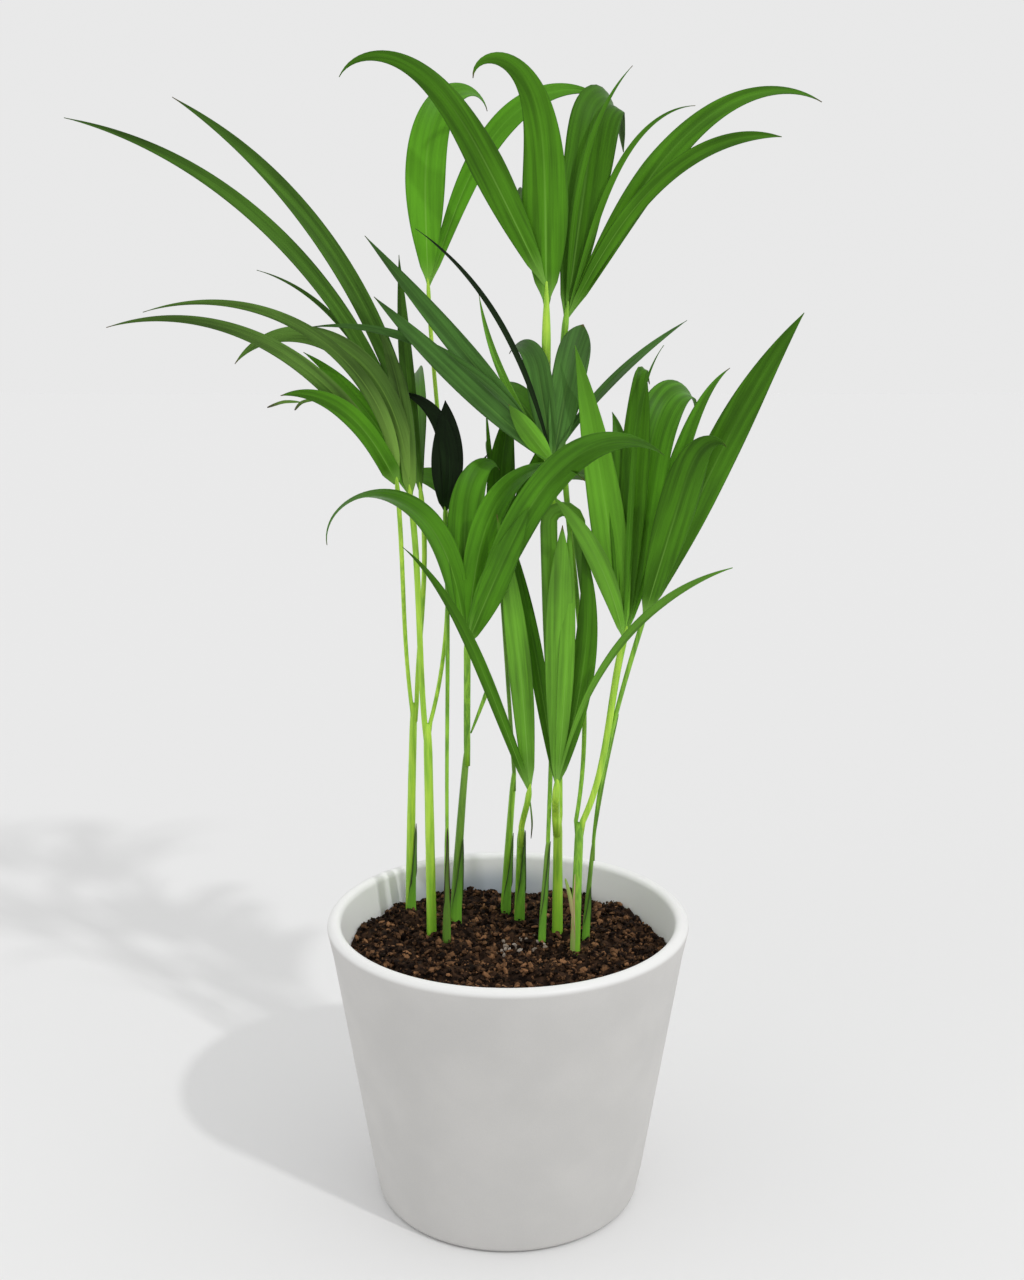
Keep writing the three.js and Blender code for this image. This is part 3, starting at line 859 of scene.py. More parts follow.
@dataclass(frozen=True)
class LeafFinish:
    """A leaflet's green, the lighter green of its rib and root, and how far its streaks stand out."""

    green: Colour
    rib: Colour
    contrast: float = 0.40
    root: float = 0.13
    roughness: float = 0.45
    specular: float = 0.10
    sheen: float = 0.04

    TIP_BROWN = (0.10, 0.065, 0.02)
    GREY = (0.17, 0.22, 0.12)
    GREY_SHARE = 0.3
    UNDER_SPECULAR = 0.6
    UNDER_ROUGHER = 0.15
    CLOUDS = 30.0
    CLOUD_SHARE = 1.1
    STREAK_SHARE = 0.55
    VEIN_SHARE = 0.15
    LIFT = 0.12
    OWN_TINT = (0.86, 1.14)
    TIP_SHADE = 0.72
    TIP_SHADE_FROM = 0.5
    RIB_WIDTH = 0.08
    RIB_SHARES = (0.55, 0.06)
    RIB_FADE = (0.05, 0.7)
    ROOT_SHARE = 0.7
    EDGE_FROM = 0.88
    EDGE_SHARE = 0.3
    EDGE_SHADE = 0.45
    TIP_FROM = 0.965
    DRIED_BLADES = (0.2, 0.7)
    ROUGH_SPREAD = (-0.06, 0.12)
    RELIEF = (0.0002, 0.55)

    def shaded(self, amount: float, underside: bool) -> tuple[float, float, float, float]:
        """Gives the green made darker or lighter, and greyer on the underside."""
        grey = self.GREY_SHARE if underside else 0.0
        return opaque(tuple(between(c, g, grey) * amount for c, g in zip(self.green, self.GREY)))

    def material(self, name: str, pattern: Pattern, underside: bool) -> bpy.types.Material:
        """Builds the finish of one side of a blade.

        Args:
            name: The material's name.
            pattern: The shared groups.
            underside: Whether this is the paler, duller side.

        Returns:
            The material.
        """
        sheen = 0.0 if underside else self.sheen
        specular = self.specular * (self.UNDER_SPECULAR if underside else 1.0)
        shader = Shader.start(name, specular, Sheen_Weight=sheen)
        graph = shader.graph
        place = shader.attribute("place")
        blade = graph.add("ShaderNodeUVMap", uv_map="blade").outputs["UV"]
        veins = shader.pattern(pattern.veins, Blade=blade, Own=place["Z"])
        cloud = graph.noise(graph.place(), self.CLOUDS, 3.0)
        colour = self._streaked(graph, veins, cloud, underside)
        colour = self._tinted(graph, place, colour)
        colour = self._marked(graph, place, colour, underside)
        least, most = (self.roughness + part for part in self.ROUGH_SPREAD)
        rough = graph.spread(cloud, *pattern.PATCH_BAND, least, most)
        shader.shade(colour, graph.math("ADD", rough, self.UNDER_ROUGHER if underside else 0.0))
        shader.relief(veins["Height"], *self.RELIEF)
        return shader.material

    def _streaked(self, graph: Graph, veins: bpy.types.NodeOutputs, cloud: bpy.types.NodeSocket,
                  underside: bool) -> bpy.types.NodeSocket:
        """Gives the green with its streaks, veins and clouds.

        Args:
            graph: The material's graph.
            veins: The outputs of the shared veins.
            cloud: Soft noise over the whole plant.
            underside: Whether this is the paler, duller side.

        Returns:
            The colour.
        """
        lit = graph.math("ADD", graph.math("MULTIPLY", veins["Streak"], self.STREAK_SHARE),
                         graph.math("MULTIPLY", veins["Fine"], self.VEIN_SHARE))
        drift = graph.math("MULTIPLY", graph.math("SUBTRACT", cloud, 0.5), self.CLOUD_SHARE)
        lit = graph.math("ADD", graph.math("ADD", lit, drift), self.LIFT, clamp=True)
        dark = self.shaded(1.0 - self.contrast, underside)
        return graph.mix(lit, dark, self.shaded(1.0 + self.contrast, underside))

    def _tinted(self, graph: Graph, place: bpy.types.NodeOutputs,
                colour: bpy.types.NodeSocket) -> bpy.types.NodeSocket:
        """Gives the colour with the blade's own tint, darker towards its tip.

        Args:
            graph: The material's graph.
            place: The share along the blade, the share across it and the blade's own number.
            colour: The colour so far.

        Returns:
            The colour.
        """
        tint = graph.spread(place["Z"], 0.0, 1.0, *self.OWN_TINT, smooth=False)
        tip_shade = graph.spread(place["X"], self.TIP_SHADE_FROM, 1.0, 1.0, self.TIP_SHADE, smooth=False)
        both = graph.math("MULTIPLY", tint, tip_shade)
        tinted = graph.add("ShaderNodeCombineXYZ")
        for socket in tinted.inputs:
            graph.feed(socket, both)
        return graph.mix(1.0, colour, tinted.outputs[0], blend="MULTIPLY")

    def _marked(self, graph: Graph, place: bpy.types.NodeOutputs, colour: bpy.types.NodeSocket,
                underside: bool) -> bpy.types.NodeSocket:
        """Gives the colour with its pale rib and root, its darker edge and its dried tip.

        Args:
            graph: The material's graph.
            place: The share along the blade, the share across it and the blade's own number.
            colour: The colour so far.
            underside: Whether this is the paler, duller side.

        Returns:
            The colour.
        """
        midrib = graph.math("MULTIPLY", graph.spread(place["Y"], 0.0, self.RIB_WIDTH, 1.0, 0.0),
                            graph.spread(place["X"], *self.RIB_FADE, *self.RIB_SHARES))
        root = graph.spread(place["X"], 0.0, self.root, self.ROOT_SHARE, 0.0)
        colour = graph.mix(graph.math("MAXIMUM", midrib, root), colour, opaque(self.rib))
        edge = graph.math("MULTIPLY", graph.spread(place["Y"], self.EDGE_FROM, 1.0), self.EDGE_SHARE)
        colour = graph.mix(edge, colour, self.shaded(self.EDGE_SHADE, underside))
        dried = graph.spread(place["Z"], *self.DRIED_BLADES)
        tip = graph.math("MULTIPLY", graph.spread(place["X"], self.TIP_FROM, 1.0), dried)
        return graph.mix(tip, colour, opaque(self.TIP_BROWN))


@dataclass(frozen=True)
class LimbFinish:
    """The green of stems and stalks, with fibres and a darker or paler second colour."""

    base: Colour
    streak: Colour
    foot: Colour
    roughness: float = 0.42

    FOOT_HEIGHT = (0.0965, 0.1275)
    FOOT_SHARE = 0.8
    FIBRES = 1100.0
    ROUGH_SPREAD = (-0.05, 0.1)
    RELIEF = (0.00015, 0.7)

    def material(self, name: str, pattern: Pattern) -> bpy.types.Material:
        """Builds the finish.

        Args:
            name: The material's name.
            pattern: The shared groups.

        Returns:
            The material.
        """
        shader = Shader.start(name, specular=0.35)
        graph = shader.graph
        where = graph.place()
        fibres = shader.pattern(pattern.streaks, Vector=where, Scale=self.FIBRES)
        colour = graph.mix(fibres["Value"], opaque(self.base), opaque(self.streak))
        low = graph.spread(graph.split(where)["Z"], *self.FOOT_HEIGHT, self.FOOT_SHARE, 0.0)
        colour = graph.mix(low, colour, opaque(self.foot))
        least, most = (self.roughness + part for part in self.ROUGH_SPREAD)
        shader.shade(colour, graph.spread(fibres["Value"], 0.0, 1.0, least, most))
        shader.relief(fibres["Height"], *self.RELIEF)
        return shader.material


@dataclass(frozen=True)
class SheathFinish:
    """A sheath's colour at its foot and at its tip, and its dry edge."""

    foot: Colour
    tip: Colour
    edge: Colour

    FIBRES = 1500.0
    FIBRE_SHARE = 0.25
    TIP_BIAS = 1.7
    EDGE_FROM = 0.9
    DRY_FROM = 0.55
    ROUGHNESS = (0.5, 0.72)
    RELIEF = (0.0002, 0.9)

    def material(self, name: str, pattern: Pattern) -> bpy.types.Material:
        """Builds the finish.

        Args:
            name: The material's name.
            pattern: The shared groups.

        Returns:
            The material.
        """
        shader = Shader.start(name, specular=0.25)
        graph = shader.graph
        place = shader.attribute("place")
        fibres = shader.pattern(pattern.streaks, Vector=graph.place(), Scale=self.FIBRES)
        along = graph.math("POWER", place["X"], self.TIP_BIAS)
        streaks = graph.math("MULTIPLY", fibres["Value"], self.FIBRE_SHARE)
        along = graph.math("ADD", along, streaks, clamp=True)
        colour = graph.mix(along, opaque(self.foot), opaque(self.tip))
        dry = graph.math("MULTIPLY", graph.spread(place["Y"], self.EDGE_FROM, 1.0),
                         graph.spread(place["X"], self.DRY_FROM, 1.0))
        colour = graph.mix(dry, colour, opaque(self.edge))
        shader.shade(colour, graph.spread(fibres["Value"], 0.0, 1.0, *self.ROUGHNESS))
        shader.relief(fibres["Height"], *self.RELIEF)
        return shader.material


@dataclass(frozen=True)
class ClayFinish:
    """Pale matt fired clay: a greyer wall; a whiter lip, which is a painted highlight; a cooler white
    inside, painted lighter as light; and painted shade low at the back of the inside.
    """

    wall: Colour = (0.615, 0.605, 0.588)
    patch: Colour = (0.575, 0.567, 0.552)
    speck: Colour = (0.42, 0.415, 0.41)
    # painted highlight: the lip is whiter than the wall, standing in for the light on its upturned top
    lip: Colour = (0.84, 0.84, 0.83)
    # painted light: the inside is whiter still, standing in for the light that falls into the pot
    inner: Colour = (0.96, 0.95, 0.955)
    # painted shade: bluish grey low in the middle of the inside's back, near the soil
    inner_painted_shade: Colour = (0.46, 0.50, 0.57)
    # Heights in metres where the lip's painted highlight starts.
    lip_highlight_height: tuple[float, float] = (0.111, 0.113)

    PATCHES = 42.0
    PATCH_SHARE = 0.8
    SPECK_SHARE = 0.10
    ROUGHNESS = (0.62, 0.36)
    # Where the painted shade at the inside's back lies, in metres, and how strong it is low and high.
    BACK_MIDDLE = -0.012
    BACK_REACH = (0.012, 0.052)
    BACK_DEPTH = (0.02, 0.05)
    BACK_HEIGHT = (0.101, 0.112)
    BACK_SHARES = (1.0, 0.1)
    PATCH_ROUGHER = 0.06
    RELIEF = (0.00022, 0.5)

    def material(self, name: str, pattern: Pattern) -> bpy.types.Material:
        """Builds the finish.

        Args:
            name: The material's name.
            pattern: The shared groups.

        Returns:
            The material.
        """
        shader = Shader.start(name, specular=0.4)
        graph = shader.graph
        where = graph.place()
        spot = graph.split(where)
        mottle = shader.pattern(pattern.mottle, Vector=where, Scale=self.PATCHES)
        patches = graph.math("MULTIPLY", mottle["Patches"], self.PATCH_SHARE)
        wall = graph.mix(patches, opaque(self.wall), opaque(self.patch))
        specks = graph.math("MULTIPLY", mottle["Grain"], self.SPECK_SHARE)
        wall = graph.mix(specks, wall, opaque(self.speck))
        inside = shader.attribute("place")["X"]
        # The lip and the inside take the painted pale colours, and they are glossier.
        painted_light_and_gloss = graph.math("MAXIMUM", inside, graph.spread(spot["Z"], *self.lip_highlight_height))
        # painted shade darkens the inside low in the middle of its back
        inner = graph.mix(self._back(graph, spot), opaque(self.inner), opaque(self.inner_painted_shade))
        # painted highlight on the lip and painted light on the inside
        pale = graph.mix(inside, opaque(self.lip), inner)
        colour = graph.mix(painted_light_and_gloss, wall, pale)
        rough = graph.spread(painted_light_and_gloss, 0.0, 1.0, *self.ROUGHNESS)
        rougher = graph.math("MULTIPLY", mottle["Patches"], self.PATCH_ROUGHER)
        shader.shade(colour, graph.math("ADD", rough, rougher))
        shader.relief(mottle["Height"], *self.RELIEF)
        return shader.material

    def _back(self, graph: Graph, spot: bpy.types.NodeOutputs) -> bpy.types.NodeSocket:
        """Masks the painted shade low in the middle of the inner wall's back.

        Args:
            graph: The material's graph.
            spot: The place's X, Y and Z, in metres.

        Returns:
            The mask.
        """
        aside = graph.math("ABSOLUTE", graph.math("SUBTRACT", spot["X"], self.BACK_MIDDLE))
        aside = graph.spread(aside, *self.BACK_REACH, 1.0, 0.0)
        back = graph.math("MULTIPLY", aside, graph.spread(spot["Y"], *self.BACK_DEPTH))
        return graph.math("MULTIPLY", back, graph.spread(spot["Z"], *self.BACK_HEIGHT, *self.BACK_SHARES))


@dataclass(frozen=True)
class CrumbFinish:
    """Soil, bark or perlite: two colours dealt by each crumb's own shade, or on the bed by painted shade
    that is darker in its hollows, with fine grain.
    """

    dark: Colour
    light: Colour
    roughness: float = 0.8

    PATCHES = 420.0
    PATCH_MIDDLE = 0.4
    PATCH_SHARE = 0.4
    OWN_SHARE = 0.9
    GRAIN_SHARE = 0.12
    ROUGH_SPREAD = (-0.15, 0.1)
    RELIEF = (0.0006, 1.0)

    def material(self, name: str, pattern: Pattern) -> bpy.types.Material:
        """Builds the finish.

        Args:
            name: The material's name.
            pattern: The shared groups.

        Returns:
            The material.
        """
        shader = Shader.start(name, specular=0.1)
        graph = shader.graph
        mottle = shader.pattern(pattern.mottle, Vector=graph.place(), Scale=self.PATCHES)
        own = shader.attribute("place")["X"]
        patches = graph.math("SUBTRACT", mottle["Patches"], self.PATCH_MIDDLE)
        patches = graph.math("MULTIPLY", patches, self.PATCH_SHARE)
        share = graph.math("ADD", graph.math("MULTIPLY", own, self.OWN_SHARE), patches)
        grain = graph.math("MULTIPLY", mottle["Grain"], self.GRAIN_SHARE)
        share = graph.math("SUBTRACT", share, grain, clamp=True)
        colour = graph.mix(share, opaque(self.dark), opaque(self.light))
        least, most = (self.roughness + part for part in self.ROUGH_SPREAD)
        shader.shade(colour, graph.spread(mottle["Grain"], 0.0, 1.0, least, most))
        shader.relief(mottle["Height"], *self.RELIEF)
        return shader.material


LEAF_FINISHES = {
    LeafTone.VIVID: LeafFinish((0.150, 0.420, 0.026), (0.30, 0.62, 0.09), contrast=0.22),
    LeafTone.BRIGHT: LeafFinish((0.096, 0.306, 0.013), (0.30, 0.60, 0.10), contrast=0.26),
    LeafTone.FRESH: LeafFinish((0.132, 0.356, 0.023), (0.27, 0.55, 0.09), roughness=0.40, specular=0.18),
    LeafTone.LIVELY: LeafFinish((0.080, 0.256, 0.010), (0.25, 0.52, 0.08)),
    LeafTone.MIDDLE: LeafFinish((0.063, 0.200, 0.007), (0.24, 0.50, 0.08)),
    LeafTone.WILTED: LeafFinish((0.081, 0.172, 0.026), (0.30, 0.54, 0.09), contrast=0.5, root=0.35),
    LeafTone.DULL: LeafFinish((0.058, 0.152, 0.014), (0.16, 0.34, 0.05), contrast=0.5),
    LeafTone.DEEP: LeafFinish((0.056, 0.175, 0.005), (0.18, 0.40, 0.05)),
    LeafTone.COOL: LeafFinish((0.062, 0.166, 0.028), (0.16, 0.34, 0.06), contrast=0.48),
    LeafTone.SHADED: LeafFinish((0.008, 0.022, 0.004), (0.02, 0.06, 0.012)),
}
LIMB_FINISHES = {
    LimbTone.LIME: LimbFinish((0.50, 0.78, 0.07), (0.24, 0.52, 0.035), (0.26, 0.60, 0.04)),
    LimbTone.GREEN: LimbFinish((0.30, 0.60, 0.045), (0.11, 0.30, 0.02), (0.24, 0.57, 0.04)),
    LimbTone.OLIVE: LimbFinish((0.19, 0.38, 0.04), (0.10, 0.23, 0.025), (0.15, 0.42, 0.03)),
}
SHEATH_FINISHES = {
    SheathTone.GREEN: SheathFinish((0.20, 0.52, 0.04), (0.045, 0.085, 0.02), (0.07, 0.10, 0.03)),
    SheathTone.DRY: SheathFinish((0.15, 0.34, 0.035), (0.045, 0.028, 0.018), (0.035, 0.022, 0.014)),
    SheathTone.PALE: SheathFinish((0.20, 0.44, 0.05), (0.62, 0.42, 0.26), (0.38, 0.20, 0.12)),
}


class Finishes:
    """Every material of the part, built once and handed out by name."""

    def __init__(self) -> None:
        """Builds them all."""
        pattern = Pattern()
        self.leaf = {
            (tone, under): finish.material(f"leaf_{tone.value}{'_under' if under else ''}", pattern, under)
            for tone, finish in LEAF_FINISHES.items()
            for under in (False, True)
        }
        self.limb = {
            tone: finish.material(f"limb_{tone.value}", pattern)
            for tone, finish in LIMB_FINISHES.items()
        }
        self.sheath = {
            tone: finish.material(f"sheath_{tone.value}", pattern)
            for tone, finish in SHEATH_FINISHES.items()
        }
        self.clay = ClayFinish().material("clay", pattern)
        self.soil = CrumbFinish((0.008, 0.004, 0.0025), (0.075, 0.038, 0.02)).material("soil", pattern)
        self.bark = CrumbFinish((0.008, 0.0037, 0.0022), (0.34, 0.17, 0.08)).material("bark", pattern)
        self.perlite = CrumbFinish((0.24, 0.19, 0.15), (0.66, 0.60, 0.54)).material("perlite", pattern)


class Mould:
    """A bmesh under way, with the layers that the finishes read."""

    def __init__(self) -> None:
        """Starts empty."""
        self.bm = bmesh.new()
        self.place = self.bm.verts.layers.float_color.new("place")
        self.blade = self.bm.loops.layers.uv.new("blade")

    def sheet(self, columns: int, rows: int,
              spot: Callable[[float, float], Vector]) -> list[bmesh.types.BMVert]:
        """Adds a grid and bends it.

        Args:
            columns: Faces across.
            rows: Faces along.
            spot: Gives the place in metres for a side from -1 to 1 and a share from 0 to 1.

        Returns:
            The new vertices.
        """
        made = bmesh.ops.create_grid(self.bm, x_segments=columns, y_segments=rows, size=1)["verts"]
        for vert in made:
            side, share = vert.co.x, (vert.co.y + 1) / 2
            vert.co = spot(side, share)
            vert[self.place] = (share, abs(side), PLAIN_SHADE, 1.0)
        return made

    def turned(self, profile: Sequence[Point], steps: int) -> None:
        """Turns a profile about the upright axis.

        Args:
            profile: Radius and height in millimetres, and the share that the finish reads, point by point.
            steps: How many steps to turn in.
        """
        chain = [self.bm.verts.new((radius * MM, 0.0, height * MM)) for radius, height, _ in profile]
        for vert, (_, _, share) in zip(chain, profile):
            vert[self.place] = (share, 0.0, PLAIN_SHADE, 1.0)
        edges = [self.bm.edges.new(pair) for pair in zip(chain, chain[1:])]
        bmesh.ops.spin(self.bm, geom=chain + edges, cent=(0, 0, 0), axis=(0, 0, 1), dvec=(0, 0, 0),
                       angle=math.tau, steps=steps, use_merge=True, use_duplicate=False)
        bmesh.ops.remove_doubles(self.bm, verts=self.bm.verts, dist=MERGE_DISTANCE)

    def faces_of(self, verts: Iterable[bmesh.types.BMVert]) -> list[bmesh.types.BMFace]:
        """Gives the faces that the vertices belong to, each once and in order."""
        return list(dict.fromkeys(face for vert in verts for face in vert.link_faces))

    def tube(self, rings: Sequence[Ring], sides: int) -> None:
        """Adds a closed tube through rings; the first and the last shrink to a point.

        Args:
            rings: The rings, in order.
            sides: Faces around.
        """
        rows = len(rings) - 1

        def spot(side: float, share: float) -> Vector:
            """Gives a place on the tube's skin.

            Args:
                side: Share of a half turn, from -1 to 1.
                share: Share of the way along, from 0 to 1.

            Returns:
                The place, in metres.
            """
            ring = rings[round(share * rows)]
            turn = math.pi * side
            out = ring.across * (ring.wide * math.cos(turn)) + ring.face * (ring.thick * math.sin(turn))
            return (ring.centre + out) * MM

        made = self.sheet(sides, rows, spot)
        bmesh.ops.remove_doubles(self.bm, verts=made, dist=MERGE_DISTANCE)

    def finish(self, name: str, materials: Sequence[bpy.types.Material]) -> bpy.types.Object:
        """Makes the object, which rides on the plant's body.

        Args:
            name: The piece's name.
            materials: Its materials, by slot.

        Returns:
            The object.
        """
        for face in self.bm.faces:
            face.smooth = True
        mesh = bpy.data.meshes.new(name)
        self.bm.to_mesh(mesh)
        self.bm.free()
        for material in materials:
            mesh.materials.append(material)
        piece = bpy.data.objects.new(name, mesh)
        bpy.context.scene.collection.objects.link(piece)
        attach(piece, BODY)
        LOG.info("%s: %d faces", name, len(mesh.polygons))
        return piece


def outward(bm: bmesh.types.BMesh) -> None:
    """Turns the faces of a closed mesh outwards."""
    bmesh.ops.recalc_face_normals(bm, faces=bm.faces)


def thicken(piece: bpy.types.Object, thickness: float, behind: int = 0) -> None:
    """Gives a sheet its thickness.

    Args:
        piece: The sheet.
        thickness: In metres.
        behind: How many slots on the back's material lies.
    """
    solid = piece.modifiers.new("thickness", "SOLIDIFY")
    solid.thickness = thickness
    solid.offset = 0.0
    solid.material_offset = behind
    solid.material_offset_rim = 0


@dataclass
class Pot:
    """The tapered pot, turned about its axis."""

    height: float = 114.0
    rim_radius: float = 70.0
    foot_radius: float = 52.0
    wall: float = 5.4
    floor: float = 7.0
    foot_round: float = 3.0
    steps: int = 144
    foot_steps: int = 6
    wall_steps: int = 12
    inner_steps: int = 8

    def outer(self, height: float) -> float:
        """Gives the wall's outer radius at a height."""
        return between(self.foot_radius, self.rim_radius, height / self.height)

    def profile(self) -> list[Point]:
        """Gives the profile from the middle of the underside to the middle of the floor.

        Returns:
            Radius, height and whether the place is inside, point by point.
        """
        lip = self.wall / 2
        reach = self.foot_round
        points = [(0.0, 0.0, 0.0), (self.foot_radius * 0.6, 0.0, 0.0)]
        for i in range(self.foot_steps + 1):
            a = math.pi / 2 * i / self.foot_steps
            points.append((self.foot_radius - reach + reach * math.sin(a), reach * (1 - math.cos(a)), 0.0))
        for i in range(1, self.wall_steps):
            height = between(reach, self.height - lip, i / self.wall_steps)
            points.append((self.outer(height), height, 0.0))
        for i in range(self.wall_steps + 1):
            a = math.pi * i / self.wall_steps
            radius = self.rim_radius - lip + lip * math.cos(a)
            points.append((radius, self.height - lip + lip * math.sin(a), clamped((i - 3) / 5)))
        for i in range(1, self.inner_steps + 1):
            height = between(self.height - lip, self.floor, i / self.inner_steps)
            points.append((self.outer(height) - self.wall, height, 1.0))
        points.append((0.0, self.floor, 1.0))
        return points

    def build(self, finishes: Finishes) -> None:
        """Makes the pot's shell in place of its solid.

        Args:
            finishes: Every material of the part.
        """
        mould = Mould()
        mould.turned(self.profile(), self.steps)
        outward(mould.bm)
        shell = mould.finish("pot_shell", [finishes.clay])
        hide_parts("pot")


@dataclass(frozen=True)
class Bumps:
    """Smooth random bumps: width and height in millimetres, and the slice of the noise they come from."""

    width: float
    height: float
    slice: float

    def at(self, x: float, y: float) -> float:
        """Gives the noise at a place, from about -1 to 1."""
        return noise.noise(Vector((x / self.width, y / self.width, self.slice)))


@dataclass(frozen=True)
class Litter:
    """One kind of crumb: its count, and its least and greatest half length, thickness and shade."""

    name: str
    count: int
    sizes: tuple[float, float]
    flat: tuple[float, float]
    shades: tuple[float, float]


@dataclass
class Soil:
    """Damp potting soil: an uneven bed with bark chips and a few grains of perlite on it."""

    level: float = SOIL_LEVEL
    radius: float = 62.0
    depth: float = 92.5
    base_share: float = 0.75
    rings: int = 80
    steps: int = 260
    chips: Litter = Litter("soil_chips", 2700, (0.5, 2.3), (0.3, 0.7), (0.0, 1.0))
    crumbs: Litter = Litter("soil_crumbs", 3200, (0.35, 1.1), (0.5, 0.9), (0.0, 0.7))
    grains: Litter = Litter("soil_grains", 30, (0.7, 1.5), (0.6, 0.9), (0.0, 1.0))
    seed: int = 11
    hollows: Bumps = Bumps(17.0, 3.6, 3.1)
    mounds: Bumps = Bumps(5.0, 1.7, 8.7)
    lumps: Bumps = Bumps(1.9, 1.3, 0.4)
    # painted shade: the bed's shade share where its lumps dip lowest and rise highest, so that hollows are
    # darker
    lump_painted_shade: tuple[float, float] = (0.3, 1.0)
    raised: float = 0.2
    rim_from: float = 0.8
    rim_drop: float = 1.6
    rim_clear: float = 1.6
    narrow: tuple[float, float] = (0.45, 0.85)
    ragged: tuple[float, float] = (0.72, 1.18)
    tilt: float = 0.5
    lift: float = 1.3
    grains_place: tuple[float, float] = (5.0, -4.0)
    grains_spread: tuple[float, float] = (4.5, 3.0)
    size_bias: float = 2.2
    shade_bias: float = 3.2

    def surface(self, x: float, y: float) -> float:
        """Gives the height of the soil at a place, in millimetres.

        Args:
            x: How far to the right, in millimetres.
            y: How far from the viewer, in millimetres.

        Returns:
            The height above the pot's underside.
        """
        uneven = sum(bumps.at(x, y) * bumps.height for bumps in (self.hollows, self.mounds))
        rim = clamped((math.hypot(x, y) / self.radius - self.rim_from) / (1 - self.rim_from))
        return self.level + self.raised + uneven - self.rim_drop * rim

    def bed(self, finishes: Finishes) -> None:
        """Makes the bed in place of the soil's solid.

        Args:
            finishes: Every material of the part.
        """
        mould = Mould()
        mould.turned([(self.radius * i / self.rings, 0.0, 0.0) for i in range(self.rings + 1)], self.steps)
        for vert in mould.bm.verts:
            x, y = vert.co.x / MM, vert.co.y / MM
            lump = self.lumps.at(x, y)
            vert.co.z = (self.surface(x, y) + lump * self.lumps.height) * MM
            # painted shade: the bed is darker where its lumps dip and lighter where they rise
            vert[mould.place] = (clamped(between(*self.lump_painted_shade, lump)), 0.0, PLAIN_SHADE, 1.0)
        rim = [edge for edge in mould.bm.edges if edge.is_boundary]
        skirt = bmesh.ops.extrude_edge_only(mould.bm, edges=rim)["geom"]
        low = [item for item in skirt if isinstance(item, bmesh.types.BMVert)]
        for vert in low:
            share = self.base_share
            vert.co = Vector((vert.co.x * share, vert.co.y * share, (self.level - self.depth) * MM))
        bmesh.ops.contextual_create(mould.bm, geom=[edge for edge in mould.bm.edges if edge.is_boundary])
        outward(mould.bm)
        piece = mould.finish("soil_bed", [finishes.soil])
        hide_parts("soil")

    def scatter(self, litter: Litter, spots: Callable[[random.Random], tuple[float, float]],
                material: bpy.types.Material) -> None:
        """Strews crumbs over the bed.

        Args:
            litter: The kind of crumb.
            spots: Deals a place on the bed.
            material: The crumbs' material.
        """
        deal = random.Random(self.seed + litter.count)
        mould = Mould()
        for _ in range(litter.count):
            x, y = spots(deal)
            half = between(*litter.sizes, deal.random() ** self.size_bias)
            scale = Vector((half, half * deal.uniform(*self.narrow), half * deal.uniform(*litter.flat)))
            lean = (deal.gauss(0, self.tilt), deal.gauss(0, self.tilt), deal.uniform(0, math.tau))
            turn = Euler(lean).to_matrix()
            height = self.surface(x, y) + deal.uniform(0.0, self.lift)
            lump = bmesh.ops.create_icosphere(mould.bm, subdivisions=1, radius=1.0)["verts"]
            shade = between(*litter.shades, deal.random() ** self.shade_bias)
            for vert in lump:
                rough = vert.co * deal.uniform(*self.ragged)
                shaped = Vector((rough.x * scale.x, rough.y * scale.y, rough.z * scale.z))
                vert.co = (turn @ shaped + Vector((x, y, height))) * MM
                vert[mould.place] = (shade, 0.0, PLAIN_SHADE, 1.0)
        piece = mould.finish(litter.name, [material])
        for polygon in piece.data.polygons:
            polygon.use_smooth = False

    def anywhere(self, deal: random.Random) -> tuple[float, float]:
        """Deals a place anywhere on the bed.

        Args:
            deal: Deals the numbers.

        Returns:
            The place's X and Y, in millimetres.
        """
        reach = (self.radius - self.rim_clear) * math.sqrt(deal.random())
        turn = deal.uniform(0, math.tau)
        return reach * math.cos(turn), reach * math.sin(turn)

    def by_stems(self, deal: random.Random) -> tuple[float, float]:
        """Deals a place near the front of the right-hand stems."""
        x, y = (at + deal.gauss(0, reach) for at, reach in zip(self.grains_place, self.grains_spread))
        return x, y

    def build(self, finishes: Finishes) -> None:
        """Makes the bed and strews its crumbs.

        Args:
            finishes: Every material of the part.
        """
        self.bed(finishes)
        self.scatter(self.chips, self.anywhere, finishes.bark)
        self.scatter(self.crumbs, self.anywhere, finishes.bark)
        self.scatter(self.grains, self.by_stems, finishes.perlite)


